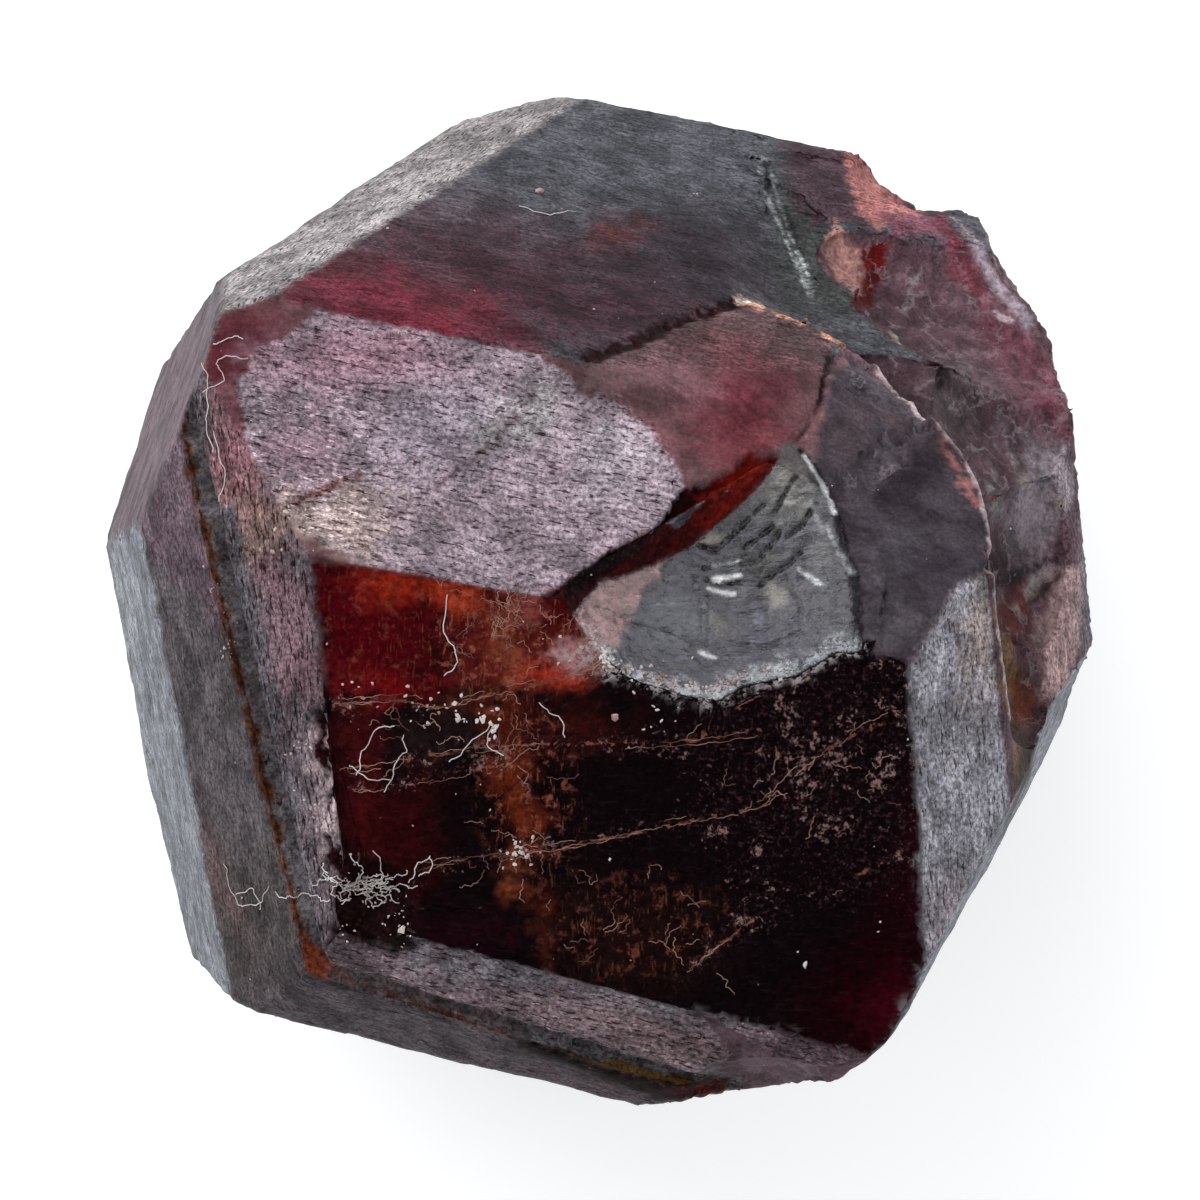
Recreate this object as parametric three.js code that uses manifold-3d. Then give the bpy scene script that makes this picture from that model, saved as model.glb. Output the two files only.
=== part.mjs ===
// A loose garnet crystal, about 28 mm across, lying on one of its rhomb faces.
// It joins the twelve rhomb {110} faces of a dodecahedron to the twenty-four {211} bevel faces,
// with a broken corner, a chipped scar, a rust-filled parting seam and a dirt pit.
// Millimetres, +Z up. The origin is on the rest face, straight below the crystal's centre.

import * as THREE from 'three';
import { mergeVertices } from 'three/addons/utils/BufferGeometryUtils.js';
import Module from 'manifold-3d';

const wasm = await Module();
wasm.setup();

// How far the crystal grew from its centre, in millimetres.
const REST_DISTANCE = 11.6;
const RHOMB_DISTANCE = 13.6;
const BEVEL_DISTANCE = 14.2;
const BLANK_SIDE = 80;

// Points closer than this are one point.
const SAME_POINT = 1e-4;

// The crystal's c axis lies level at this heading, with one rhomb face straight up.
const C_AXIS_HEADING = 221.5;

// The faces that grew nearer or farther than the others, in millimetres from the centre.
// Solution has turned and tipped some of them a few degrees off the ideal lattice plane.
const GROWN_FACES = {
  window: { hkl: [1, 1, 0], distance: 11.9 },
  rest: { hkl: [-1, -1, 0], distance: REST_DISTANCE },
  leftBevel: { hkl: [1, 2, 1], distance: 14.4, tip: -7 },
  frontBevel: { hkl: [2, 1, 1], distance: 15.0, turn: -2, tip: 0.5 },
  rightBevel: { hkl: [2, 1, -1], distance: 13.7, turn: -3.5 },
  bright: { hkl: [1, 2, -1], distance: 11.1, turn: 3.5, tip: 9.5 },
  leftBand: { hkl: [0, 1, 1], distance: 13.9, turn: 4, tip: -0.5 },
  frontBand: { hkl: [1, 0, 1], distance: 15.2, turn: -3.5, tip: 1 },
  slate: { hkl: [0, 1, -1], distance: 10.0, turn: 2, tip: 1 },
  right: { hkl: [1, 0, -1], distance: 13.2, turn: -1, tip: 1 },
  frontCorner: { hkl: [1, 1, 2], distance: 16.5 },
  cornerBevel: { hkl: [1, 1, -2], distance: 12.9, turn: -1, tip: 0.5 },
  rightStrip: { hkl: [2, -1, -1], distance: 12.9, turn: -3.5, tip: -4.5 },
  backBand: { hkl: [-1, 2, -1], distance: 12.3, turn: -1, tip: -1 },
  leftRim: { hkl: [-1, 1, 2], distance: 12.75, turn: 4.5, tip: 6.5 },
  frontWall: { hkl: [1, -1, 2], distance: 12.5, turn: -0.5 },
  backWall: { hkl: [-1, 1, -2], distance: 14.1, turn: 2.5 },
  backLeftWall: { hkl: [-1, 1, 0], distance: 13.1, turn: -1.5, tip: -2 },
  leftCorner: { hkl: [0, 0, 1], distance: 14.3, turn: 1, tip: 4 },
  rightWall: { hkl: [1, -1, -2], distance: 13.1, turn: -1.5 },
  leftShoulder: { hkl: [-1, 2, 1], distance: 13.2, turn: 4, tip: -12 },
  frontShoulder: { hkl: [2, -1, 1], distance: 13.25, turn: -7, tip: -14 },
  frontRightWall: { hkl: [1, -1, 0], distance: 12.4 },
  backRightWall: { hkl: [0, 0, -1], distance: 15.3 },
  underRight: { hkl: [1, -2, -1], distance: 13.2 },
  underBack: { hkl: [-2, 1, -1], distance: 15.3 },
  underFrontLeft: { hkl: [-1, -1, 2], distance: 13.4 },
  underLeft: { hkl: [-2, 1, 1], distance: 14.9 },
  underSlate: { hkl: [-1, 0, -1], distance: 14.6 },
};

// The parting seam: a V of this width and depth along the edge below the left and front bevels.
const SEAM_WIDTH = 0.7;
const SEAM_DEPTH = 0.45;
const SEAM_OVERRUN = 1.0;

// The chipped scar: a shallow dish below a sloping wall.
const SCAR = {
  wallStart: [-2.55, 0.21, 11.9],
  wallEnd: [4.24, 4.13, 10.06],
  wallSlope: 48,
  centre: [2.45, 2.3, 16.4],
  radius: 6.6,
};

// The broken corner and the small chips: balls sunk into the surface, as fractures scoop it.
// Each is given by the point it bites at, the direction it bites from, its radius and its depth.
const SCOOPS = [
  { at: [7.0, 6.2, 7.0], from: [0.3, 0.7, 0.6], radius: 4.5, depth: 0.5 },
  { at: [9.2, 8.6, 2.4], from: [0.35, 0.75, 0.55], radius: 6.0, depth: 0.9 },
  { at: [7.7, 9.4, 1.3], from: [0.2, 0.8, 0.55], radius: 2.4, depth: 0.6 },
  { at: [10.6, 7.4, 3.4], from: [0.5, 0.65, 0.5], radius: 5.0, depth: 0.7 },
  { at: [12.3, 8.6, -0.5], from: [0.8, 0.6, 0.1], radius: 7.0, depth: 0.35 },
  { at: [10.3, 5.0, 6.3], from: [0.62, 0.53, 0.58], radius: 6.0, depth: 0.8 },
  { at: [10.9, 1.2, 7.4], from: [0.85, 0.15, 0.5], radius: 5.5, depth: 0.8 },
  { at: [10.6, -1.8, 8.3], from: [0.85, 0.08, 0.52], radius: 3.2, depth: 0.6 },
  { at: [8.9, 11.9, -2.9], from: [0.4, 0.85, 0.3], radius: 2.2, depth: 0.7 },
  { at: [-6.7, -7.2, 11.9], from: [-0.15, -0.2, 1], radius: 1.4, depth: 0.45 },
  { at: [2.6, -12.3, 10.7], from: [0.1, -0.85, 0.5], radius: 3.6, depth: 0.55 },
];
const SCOOP_SEGMENTS = 40;
const SCOOP_RINGS = 24;

// The worn shoulder between the bright and the slate face: it starts at nothing and deepens.
const SHOULDER = { start: -1.1, end: 9.0, depth: 1.3 };

const UP = new THREE.Vector3(0, 0, 1);
const radians = THREE.MathUtils.degToRad;

// The lattice's a, b and c axes in the model's own directions.
function latticeBasis() {
  const c = new THREE.Vector3(Math.cos(radians(C_AXIS_HEADING)), Math.sin(radians(C_AXIS_HEADING)), 0);
  const level = new THREE.Vector3().crossVectors(UP, c);
  const a = new THREE.Vector3().addVectors(UP, level).normalize();
  const b = new THREE.Vector3().subVectors(UP, level).normalize();
  return new THREE.Matrix4().makeBasis(a, b, c);
}

const LATTICE = latticeBasis();

// The outward plane of a face, about the crystal's centre: normal . point = distance.
function facePlane({ hkl, distance, turn = 0, tip = 0 }) {
  const ideal = new THREE.Vector3(...hkl).applyMatrix4(LATTICE).normalize();
  const heading = Math.atan2(ideal.y, ideal.x) + radians(turn);
  const elevation = Math.asin(ideal.z) + radians(tip);
  const level = Math.cos(elevation);
  const normal = new THREE.Vector3(level * Math.cos(heading), level * Math.sin(heading), Math.sin(elevation));
  return { normal, distance };
}

// Every face of a form, as index triples with all orders and signs.
function formFaces(indices) {
  const faces = new Map();
  const orders = [[0, 1, 2], [0, 2, 1], [1, 0, 2], [1, 2, 0], [2, 0, 1], [2, 1, 0]];
  for (const order of orders) {
    for (let signs = 0; signs < 8; signs += 1) {
      const hkl = order.map((slot, axis) => (signs & (1 << axis) ? -indices[slot] : indices[slot]));
      faces.set(String(hkl), hkl);
    }
  }
  return [...faces.values()];
}

function allPlanes() {
  const grown = new Map(Object.values(GROWN_FACES).map((face) => [String(face.hkl), face]));
  const forms = [
    { indices: [1, 1, 0], distance: RHOMB_DISTANCE },
    { indices: [2, 1, 1], distance: BEVEL_DISTANCE },
  ];
  return forms.flatMap(({ indices, distance }) => formFaces(indices)
    .map((hkl) => facePlane(grown.get(String(hkl)) ?? { hkl, distance })));
}

// A closed geometry as a solid that can be cut and joined.
function solidOf(geometry) {
  const bare = geometry.clone();
  bare.deleteAttribute('normal');
  bare.deleteAttribute('uv');
  const merged = mergeVertices(bare, SAME_POINT);
  return new wasm.Manifold(new wasm.Mesh({
    numProp: 3,
    vertProperties: new Float32Array(merged.attributes.position.array),
    triVerts: new Uint32Array(merged.index.array),
  }));
}

function geometryOf(solid) {
  const mesh = solid.getMesh();
  const geometry = new THREE.BufferGeometry();
  geometry.setAttribute('position', new THREE.BufferAttribute(mesh.vertProperties, 3));
  geometry.setIndex(new THREE.BufferAttribute(mesh.triVerts, 1));
  return geometry;
}

// A block whose near side lies on a plane, reaching outwards from it.
function blockBeyond(normal, point) {
  const block = new THREE.BoxGeometry(BLANK_SIDE, BLANK_SIDE, BLANK_SIDE);
  block.translate(0, 0, BLANK_SIDE / 2);
  block.applyQuaternion(new THREE.Quaternion().setFromUnitVectors(UP, normal));
  block.translate(point.x, point.y, point.z);
  return solidOf(block);
}

// The corner where three planes meet.
function planesCorner(planes) {
  const rows = new THREE.Matrix3().set(...planes.flatMap(({ normal }) => normal.toArray()));
  const distances = new THREE.Vector3(...planes.map(({ distance }) => distance));
  return distances.applyMatrix3(rows.invert());
}

// The corner where three faces meet.
function corner(...faces) {
  return planesCorner(faces.map(facePlane));
}

// One leg of the V groove: a four-sided bar with a pointed edge turned into the crystal.
function seamLeg(start, end, outward) {
  const along = new THREE.Vector3().subVectors(end, start);
  const bar = new THREE.CylinderGeometry(1, 1, along.length() + 2 * SEAM_OVERRUN, 4);
  bar.scale(SEAM_WIDTH / 2, 1, SEAM_DEPTH);
  const direction = along.normalize();
  const out = outward.clone().addScaledVector(direction, -outward.dot(direction)).normalize();
  const across = new THREE.Vector3().crossVectors(direction, out);
  bar.applyMatrix4(new THREE.Matrix4().makeBasis(across, direction, out));
  const middle = start.clone().add(end).multiplyScalar(0.5);
  bar.translate(middle.x, middle.y, middle.z);
  return solidOf(bar);
}

function partingSeam() {
  const { leftBevel, leftBand, leftShoulder, frontBevel, frontBand, frontShoulder } = GROWN_FACES;
  const top = corner(leftBevel, leftBand, leftShoulder);
  const bend = corner(leftBevel, leftBand, frontBand);
  const turn = corner(frontBevel, frontBand, leftBevel);
  const tail = corner(frontBevel, frontBand, frontShoulder);
  const outOf = (one, other) => facePlane(one).normal.add(facePlane(other).normal);
  return seamLeg(top, bend, outOf(leftBevel, leftBand))
    .add(seamLeg(turn, tail, outOf(frontBevel, frontBand)));
}

// A dish-shaped scar, cut off on one side by a sloping wall.
function chippedScar() {
  const dish = new THREE.SphereGeometry(SCAR.radius, SCOOP_SEGMENTS, SCOOP_RINGS);
  dish.translate(...SCAR.centre);
  const start = new THREE.Vector3(...SCAR.wallStart);
  const along = new THREE.Vector3(...SCAR.wallEnd).sub(start).normalize();
  const downhill = new THREE.Vector3().crossVectors(along, UP).normalize();
  const lean = radians(SCAR.wallSlope);
  const acrossWall = new THREE.Vector3().crossVectors(downhill, along);
  const normal = downhill.multiplyScalar(Math.sin(lean)).addScaledVector(acrossWall, Math.cos(lean));
  return solidOf(dish).intersect(blockBeyond(normal, start));
}

function scoop({ at, from, radius, depth }) {
  const ball = new THREE.SphereGeometry(radius, SCOOP_SEGMENTS, SCOOP_RINGS);
  const rise = new THREE.Vector3(...from).normalize().multiplyScalar(radius - depth);
  ball.translate(at[0] + rise.x, at[1] + rise.y, at[2] + rise.z);
  return solidOf(ball);
}

// A flat worn across the edge between the bright and the slate face, deeper towards +X.
function wornShoulder() {
  const one = facePlane(GROWN_FACES.bright);
  const other = facePlane(GROWN_FACES.slate);
  const out = one.normal.clone().add(other.normal).normalize();
  const edgeAt = (x) => planesCorner([one, other, { normal: new THREE.Vector3(1, 0, 0), distance: x }]);
  const start = edgeAt(SHOULDER.start);
  const end = edgeAt(SHOULDER.end).addScaledVector(out, -SHOULDER.depth);
  const along = end.clone().sub(start).normalize();
  const normal = out.addScaledVector(along, -out.dot(along)).normalize();
  return blockBeyond(normal, start);
}

function crystalSolid() {
  let crystal = solidOf(new THREE.BoxGeometry(BLANK_SIDE, BLANK_SIDE, BLANK_SIDE));
  for (const { normal, distance } of allPlanes()) {
    crystal = crystal.subtract(blockBeyond(normal, normal.clone().multiplyScalar(distance)));
  }
  crystal = crystal.subtract(partingSeam());
  crystal = crystal.subtract(chippedScar());
  crystal = crystal.subtract(wornShoulder());
  for (const bite of SCOOPS) {
    crystal = crystal.subtract(scoop(bite));
  }
  return crystal;
}

const garnet = new THREE.MeshStandardMaterial({ color: 0x3a1218, roughness: 0.35, metalness: 0 });
const crystal = new THREE.Mesh(geometryOf(crystalSolid()), garnet);
crystal.name = 'garnet_crystal';
crystal.position.z = REST_DISTANCE;

const group = new THREE.Group();
group.add(crystal);

export default group;
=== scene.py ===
"""The looks of a loose garnet crystal, laid out as an add-on and run as a script.

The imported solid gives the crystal's size and faces. This script makes the fine skin around a copy of it:
etched faces, a dark clear window, a chipped scar, a broken corner, a rust-filled parting seam, lint and dust.
Positions are in millimetres from the point below the crystal's centre, on the face that it rests on.
"""

import math
import random

import bmesh
import bpy
import numpy as np
from bpy.props import FloatProperty, FloatVectorProperty, IntProperty, PointerProperty
from mathutils import Matrix, Vector, noise
from mathutils.bvhtree import BVHTree


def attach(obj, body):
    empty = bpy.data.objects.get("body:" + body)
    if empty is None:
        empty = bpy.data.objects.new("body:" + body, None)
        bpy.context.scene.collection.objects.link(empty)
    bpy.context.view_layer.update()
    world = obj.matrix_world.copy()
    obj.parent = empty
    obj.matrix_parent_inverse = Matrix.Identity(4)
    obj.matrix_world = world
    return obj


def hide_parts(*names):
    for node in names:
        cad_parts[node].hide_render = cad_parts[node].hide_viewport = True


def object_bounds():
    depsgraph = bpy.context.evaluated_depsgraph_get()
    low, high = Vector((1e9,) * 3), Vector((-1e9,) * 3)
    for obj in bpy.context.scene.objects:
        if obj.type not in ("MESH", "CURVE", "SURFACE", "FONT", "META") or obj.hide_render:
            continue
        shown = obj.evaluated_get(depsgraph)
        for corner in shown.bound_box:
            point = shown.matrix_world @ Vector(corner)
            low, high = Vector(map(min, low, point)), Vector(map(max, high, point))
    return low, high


bl_info = {
    "name": "Garnet Crystal",
    "version": (1, 0, 0),
    "blender": (4, 5, 0),
    "location": "View3D > Sidebar > Garnet",
    "description": "Builds the etched, chipped and rust-stained skin of a loose garnet crystal",
    "category": "Object",
}

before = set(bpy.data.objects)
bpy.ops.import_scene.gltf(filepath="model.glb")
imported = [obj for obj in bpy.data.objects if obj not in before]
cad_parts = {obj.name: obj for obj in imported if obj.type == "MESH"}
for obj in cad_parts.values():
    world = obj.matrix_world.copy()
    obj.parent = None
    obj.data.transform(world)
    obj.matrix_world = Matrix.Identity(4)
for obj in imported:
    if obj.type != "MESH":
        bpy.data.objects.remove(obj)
CAD_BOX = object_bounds()
CRYSTAL_NODE = "garnet_crystal"
MM = 0.001

# ---------------------------------------------------------------------------------------------------
# The crystal's faces, named by their lattice indices
# ---------------------------------------------------------------------------------------------------

C_AXIS_HEADING = math.radians(221.5)
CENTRE_HEIGHT = 11.6

SLIVER_WIDTH = 0.03 * MM

FACES = {
    "window": (1, 1, 0),
    "left_bevel": (1, 2, 1),
    "front_bevel": (2, 1, 1),
    "right_bevel": (2, 1, -1),
    "bright": (1, 2, -1),
    "left_band": (0, 1, 1),
    "front_band": (1, 0, 1),
    "slate": (0, 1, -1),
    "right": (1, 0, -1),
    "back_band": (-1, 2, -1),
    "left_rim": (-1, 1, 2),
    "right_strip": (2, -1, -1),
    "rest": (-1, -1, 0),
}

# The worn shoulder's plane, as a point in millimetres and the direction it faces
SHOULDER_AT = Vector((6.79, 2.21, 21.9))
SHOULDER_SLOPE = Vector((0.24, 0.60, 0.76))

# Above this height only the top's faces lie, and below the other one only the sides
TOP_FACES_FROM = 18
SIDES_UP_TO = 9

PATCHES = [*FACES, "side", "under", "shoulder", "seam", "scar", "wall", "broken", "pit", "wedge"]
PATCH = {name: number for number, name in enumerate(PATCHES)}

# Plan outlines and lines, as (x, y) in millimetres
FROST_OVAL = [
    (-8.0, 7.5), (-5.9, 7.1), (-3.4, 6.7), (-1.9, 6.2), (-1.4, 5.4), (-0.4, 5.3), (0.5, 4.6), (0.9, 3.9),
    (1.15, 3.1), (0.9, 2.6), (0.5, 2.05), (-0.8, 1.4), (-1.3, 1.0), (-1.9, 0.6), (-2.9, 0.25), (-4.3, 0.6),
    (-6.0, 0.9), (-8.0, 1.6), (-9.5, 2.8), (-9.9, 4.2), (-10.1, 5.7), (-9.4, 6.6),
]
EMBER = [
    (-8.4, 1.4), (-6.0, 1.1), (-4.0, 0.7), (-2.0, 0.4), (-1.0, 0.4), (-0.9, -1.1), (-2.0, -1.5),
    (-3.0, -2.0), (-4.8, -2.6), (-6.0, -2.3), (-7.6, -2.5),
]
WINDOW_CRACKS = [
    [(-7.6, -2.4), (-6.0, -2.3), (-5.0, -2.5), (-4.0, -2.2), (-3.0, -2.0), (-1.5, -1.6), (-0.8, -1.2)],
    [(-7.4, -4.0), (-6.0, -3.8), (-4.3, -3.5), (-2.5, -3.4), (-0.5, -3.4), (1.5, -3.3), (3.5, -3.0)],
    [(-7.2, -4.5), (-6.0, -4.4), (-5.0, -4.2), (-3.5, -3.9)],
    [(-5.5, -6.5), (-4.0, -6.2), (-2.0, -6.0), (0.0, -5.6), (1.5, -5.3), (3.0, -5.0), (4.0, -4.1),
     (5.0, -3.4), (6.5, -2.7)],
    [(1.2, -9.1), (2.2, -8.3), (3.2, -7.6)],
    [(4.6, -7.2), (5.4, -6.8), (6.6, -6.1)],
    [(1.2, -3.4), (2.0, -2.7), (3.0, -2.2)],
]
LIP = [
    (3.4, 8.1), (4.6, 7.6), (5.8, 7.0), (6.9, 6.4), (7.5, 5.6), (8.2, 4.7), (8.7, 4.0), (9.1, 3.1),
    (9.2, 2.2), (9.2, 1.2), (9.3, -0.3), (9.7, -2.8),
]
SLATE_CRACK = [(5.7, 6.8), (5.2, 6.0), (5.0, 5.3), (4.3, 4.3)]
BLOCK_STEP = [(-1.1, 6.4), (-0.2, 6.7), (0.6, 7.0), (1.8, 7.6), (3.4, 8.1)]
BACK_SCRATCHES = [
    [(5.0, 13.8), (5.05, 12.9), (5.0, 12.1), (5.15, 11.3), (5.3, 10.4), (5.55, 9.4), (5.6, 8.6)],
    [(4.75, 11.9), (4.85, 11.2), (5.15, 10.3), (5.4, 9.3), (5.5, 8.7)],
    [(4.8, 12.6), (4.7, 12.1)],
]
WORN_BLOCK = [
    (-1.5, 5.6), (-1.1, 6.4), (-0.2, 6.7), (0.6, 7.0), (1.8, 7.6), (3.4, 8.1), (4.6, 7.6), (5.8, 7.0),
    (5.5, 6.4), (5.0, 5.3), (4.3, 4.3), (2.8, 3.7), (1.4, 2.9), (1.1, 4.2), (-0.2, 5.3),
]
SCAR_LEDGE = [
    (-2.4, 0.2), (-1.0, 1.1), (-0.3, 1.4), (0.3, 2.0), (0.9, 2.8), (1.4, 2.8), (2.1, 3.2), (2.8, 3.7),
    (3.7, 3.9), (4.3, 4.1),
]
SCAR_RIGHT = [(4.3, 4.0), (4.7, 3.5), (5.0, 2.8), (5.15, 2.1), (5.3, 1.3), (5.5, 0.4), (5.5, -1.0)]
SCAR_FRONT = [
    (-0.95, -1.2), (-0.8, -1.45), (0.35, -1.85), (1.2, -2.1), (1.95, -2.2), (2.5, -1.85), (3.85, -1.6),
    (4.95, -1.0), (5.5, -1.0),
]
SCAR_STROKES = [
    [(3.4, 3.3), (2.9, 3.0), (2.35, 2.7), (1.95, 2.3)],
    [(3.35, 2.6), (2.9, 2.2), (2.5, 1.8), (2.1, 1.45), (1.7, 1.55), (1.5, 1.7)],
    [(3.55, 2.05), (3.2, 1.75), (2.8, 1.5)],
    [(4.25, 1.4), (3.95, 1.1), (3.55, 0.85), (3.2, 0.55)],
    [(3.7, 1.9), (3.45, 1.5), (3.2, 1.2), (2.75, 1.1)],
    [(4.6, 2.6), (4.3, 2.1), (3.9, 1.8)],
    [(2.9, 1.35), (2.35, 1.1), (1.8, 1.0)],
    [(2.7, 0.65), (2.2, 0.6), (1.8, 0.7)],
    [(4.1, 3.3), (3.8, 2.8), (3.6, 2.4)],
]
SCAR_HAIRLINES = [
    [(-0.1, -0.3), (0.7, -0.5), (1.5, -0.9)],
    [(1.5, 0.55), (1.7, 0.1), (1.65, -0.65), (1.4, -0.95)],
    [(1.9, 0.15), (1.8, -0.9)],
    [(2.4, -0.9), (3.3, -1.0), (4.2, -0.6)],
    [(3.9, 0.7), (4.2, 0.1), (4.2, -0.5)],
]
SLATE_PANEL = [
    (6.1, 6.7), (7.5, 5.6), (8.7, 3.9), (9.4, 2.0), (8.8, 0.5), (7.5, -0.5), (6.9, -1.6), (5.2, -1.6),
    (5.2, 1.2), (4.6, 3.5), (5.1, 5.4),
]
CORNER_STROKES = [
    ([(10.9, 4.1), (11.3, 3.0)], (184, 172, 160), 0.05),
    ([(10.7, 5.3), (10.8, 4.4), (11.0, 3.9)], (132, 120, 126), 0.05),
    ([(11.3, 4.8), (11.75, 3.4)], (130, 122, 128), 0.07),
    ([(11.9, 3.0), (12.4, 2.6)], (160, 146, 144), 0.06),
    ([(10.7, 1.75), (11.0, 2.1)], (152, 144, 140), 0.04),
    ([(10.8, 1.45), (11.25, 1.7)], (150, 142, 138), 0.04),
    ([(10.9, 0.75), (12.2, 1.25)], (34, 10, 20), 0.12), ([(11.3, 0.2), (12.2, 0.8)], (40, 10, 18), 0.10),
    ([(11.2, 0.4), (11.9, 0.95)], (156, 144, 140), 0.05),
    ([(11.0, 0.05), (11.6, 0.5)], (140, 126, 118), 0.04),
    ([(9.15, 9.5), (8.7, 9.0), (8.5, 8.3)], (146, 130, 138), 0.06),
    # painted highlight: the first stroke on the next line, cream, at (8.0, 7.7)
    ([(8.0, 7.7), (8.2, 7.4)], (210, 200, 182), 0.04), ([(11.0, 8.0), (11.3, 7.9)], (202, 184, 192), 0.06),
    ([(9.6, 6.9), (9.9, 6.2), (9.7, 5.6)], (122, 108, 112), 0.06),
]
SEAM_RUST = [(-11.75, 5.8), (-11.43, 4.4), (-10.95, 2.0), (-10.4, -0.3), (-9.75, -3.0), (-9.1, -5.8),
             (-8.5, -8.2)]
LEDGE_BITE = [
    (-2.5, 0.2), (-1.9, 0.5), (-1.2, 1.0), (-0.8, 1.35), (0.5, 2.05), (1.15, 3.0), (2.1, 3.25), (2.95, 3.9),
    (3.7, 3.85), (3.6, 3.55), (1.9, 2.7), (0.3, 1.85),
]
LEDGE_TIP = [
    (-2.6, 0.25), (-1.7, 0.8), (-0.5, 1.55), (0.4, 2.0), (0.3, 1.6), (-0.5, 1.1), (-1.1, 0.5), (-2.1, -0.6),
    (-2.9, -0.2),
]
SEAM = [(-11.8, 6.2), (-11.45, 4.9), (-8.25, -9.07), (2.5, -12.5)]


def lattice():
    """The lattice's axes as columns, in the model's own directions."""
    c = Vector((math.cos(C_AXIS_HEADING), math.sin(C_AXIS_HEADING), 0))
    up = Vector((0, 0, 1))
    level = up.cross(c)
    a = (up + level).normalized()
    b = (up - level).normalized()
    return Matrix((a, b, c)).transposed()


def face_directions():
    axes = lattice()
    return {name: (axes @ Vector(hkl)).normalized() for name, hkl in FACES.items()}


# ---------------------------------------------------------------------------------------------------
# Plan geometry on whole arrays of points
# ---------------------------------------------------------------------------------------------------

def distance_to_line(points, line):
    """Distance in plan from each point to an open line."""
    best = np.full(len(points), 1e9)
    for start, end in zip(line, line[1:]):
        a = np.array(start, float)
        along = np.array(end, float) - a
        share = np.clip(((points - a) @ along) / (along @ along), 0, 1)
        nearest = a + share[:, None] * along
        best = np.minimum(best, np.linalg.norm(points - nearest, axis=1))
    return best


def inside_outline(points, outline):
    """Signed distance in plan to a closed outline, positive inside."""
    inside = np.zeros(len(points), bool)
    x, y = points[:, 0], points[:, 1]
    for (x0, y0), (x1, y1) in zip(outline, outline[1:] + outline[:1]):
        if y0 != y1:
            crosses = (y0 > y) != (y1 > y)
            inside ^= crosses & (x < (x1 - x0) * (y - y0) / (y1 - y0) + x0)
    distance = distance_to_line(points, outline + outline[:1])
    return np.where(inside, distance, -distance)


def right_of_line(points, line):
    """Signed distance in plan to a line, positive on the right-hand side of its direction of travel."""
    best = np.full(len(points), 1e9)
    side = np.zeros(len(points))
    for start, end in zip(line, line[1:]):
        a = np.array(start, float)
        along = np.array(end, float) - a
        share = np.clip(((points - a) @ along) / (along @ along), 0, 1)
        offset = points - (a + share[:, None] * along)
        distance = np.linalg.norm(offset, axis=1)
        turn = along[1] * (points[:, 0] - a[0]) - along[0] * (points[:, 1] - a[1])
        closer = distance < best
        best = np.where(closer, distance, best)
        side = np.where(closer, np.sign(turn), side)
    return best * side


def smooth(value, low, high):
    share = np.clip((value - low) / (high - low), 0, 1)
    return share * share * (3 - 2 * share)


def fractal(points, scale, octaves=3, seed=0.0):
    """Soft noise about zero at each point; scale is in cycles per millimetre."""
    shift = Vector((seed, seed * 1.7, -seed * 0.6))
    return np.array([noise.fractal(Vector(p) * scale + shift, 0.9, 2.0, octaves) for p in points.tolist()])


def nearest_cell(points, scale, seed=0.0):
    """Distance to the nearest of a scatter of cell centres."""
    shift = Vector((seed, -seed, seed * 0.5))
    return np.array([noise.voronoi(Vector(p) * scale + shift)[0][0] for p in points.tolist()])


def groove(plan, line, width):
    """One on a line in plan, fading out over a width to either side."""
    return np.exp(-(distance_to_line(plan, line) / width) ** 2)


# ---------------------------------------------------------------------------------------------------
# The crystal's mesh
# ---------------------------------------------------------------------------------------------------

def patch_of(face, directions):
    """The named patch that a face of the merged solid belongs to."""
    centre = face.calc_center_median() / MM
    x, y, z = centre
    plan = np.array([[x, y]])
    normal = face.normal
    if z > TOP_FACES_FROM and distance_to_line(plan, SEAM)[0] < 0.5 and face.calc_area() < 12e-6:
        return "seam"
    nearest = max(directions, key=lambda name: directions[name].dot(normal))
    angle = math.degrees(directions[nearest].angle(normal))
    large = face.calc_area() > 0.9e-6
    if angle < 6 and (nearest == "rest" or face.calc_perimeter() > 6 * MM):
        return nearest
    off_shoulder = max(abs(normal.x - SHOULDER_SLOPE.x), abs(normal.y - SHOULDER_SLOPE.y))
    on_shoulder = large and off_shoulder < 0.06
    in_hollow = z > 20 and -2.7 < x < 6 and -2.8 < y < 4.7
    if in_hollow and not (large and angle < 12 and nearest in ("window", "bright")):
        if normal.y < -0.4 and normal.x > 0.2 and face.calc_area() > 2e-6:
            return "wall"
        return "shoulder" if on_shoulder else "scar"
    if on_shoulder:
        return "shoulder"
    if not large or angle > 15:
        if -8.6 < x < -4.8 and -9 < y < -5.4 and z > 20:
            return "pit"
        if x > 5 and y > -4.5 and z > 6:
            return "broken"
        if x > -2 and y < -11 and z > 17:
            return "wedge"
    if angle < 15 and (large or nearest == "window"):
        return nearest
    return "under" if normal.z < -0.3 else "side"


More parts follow.
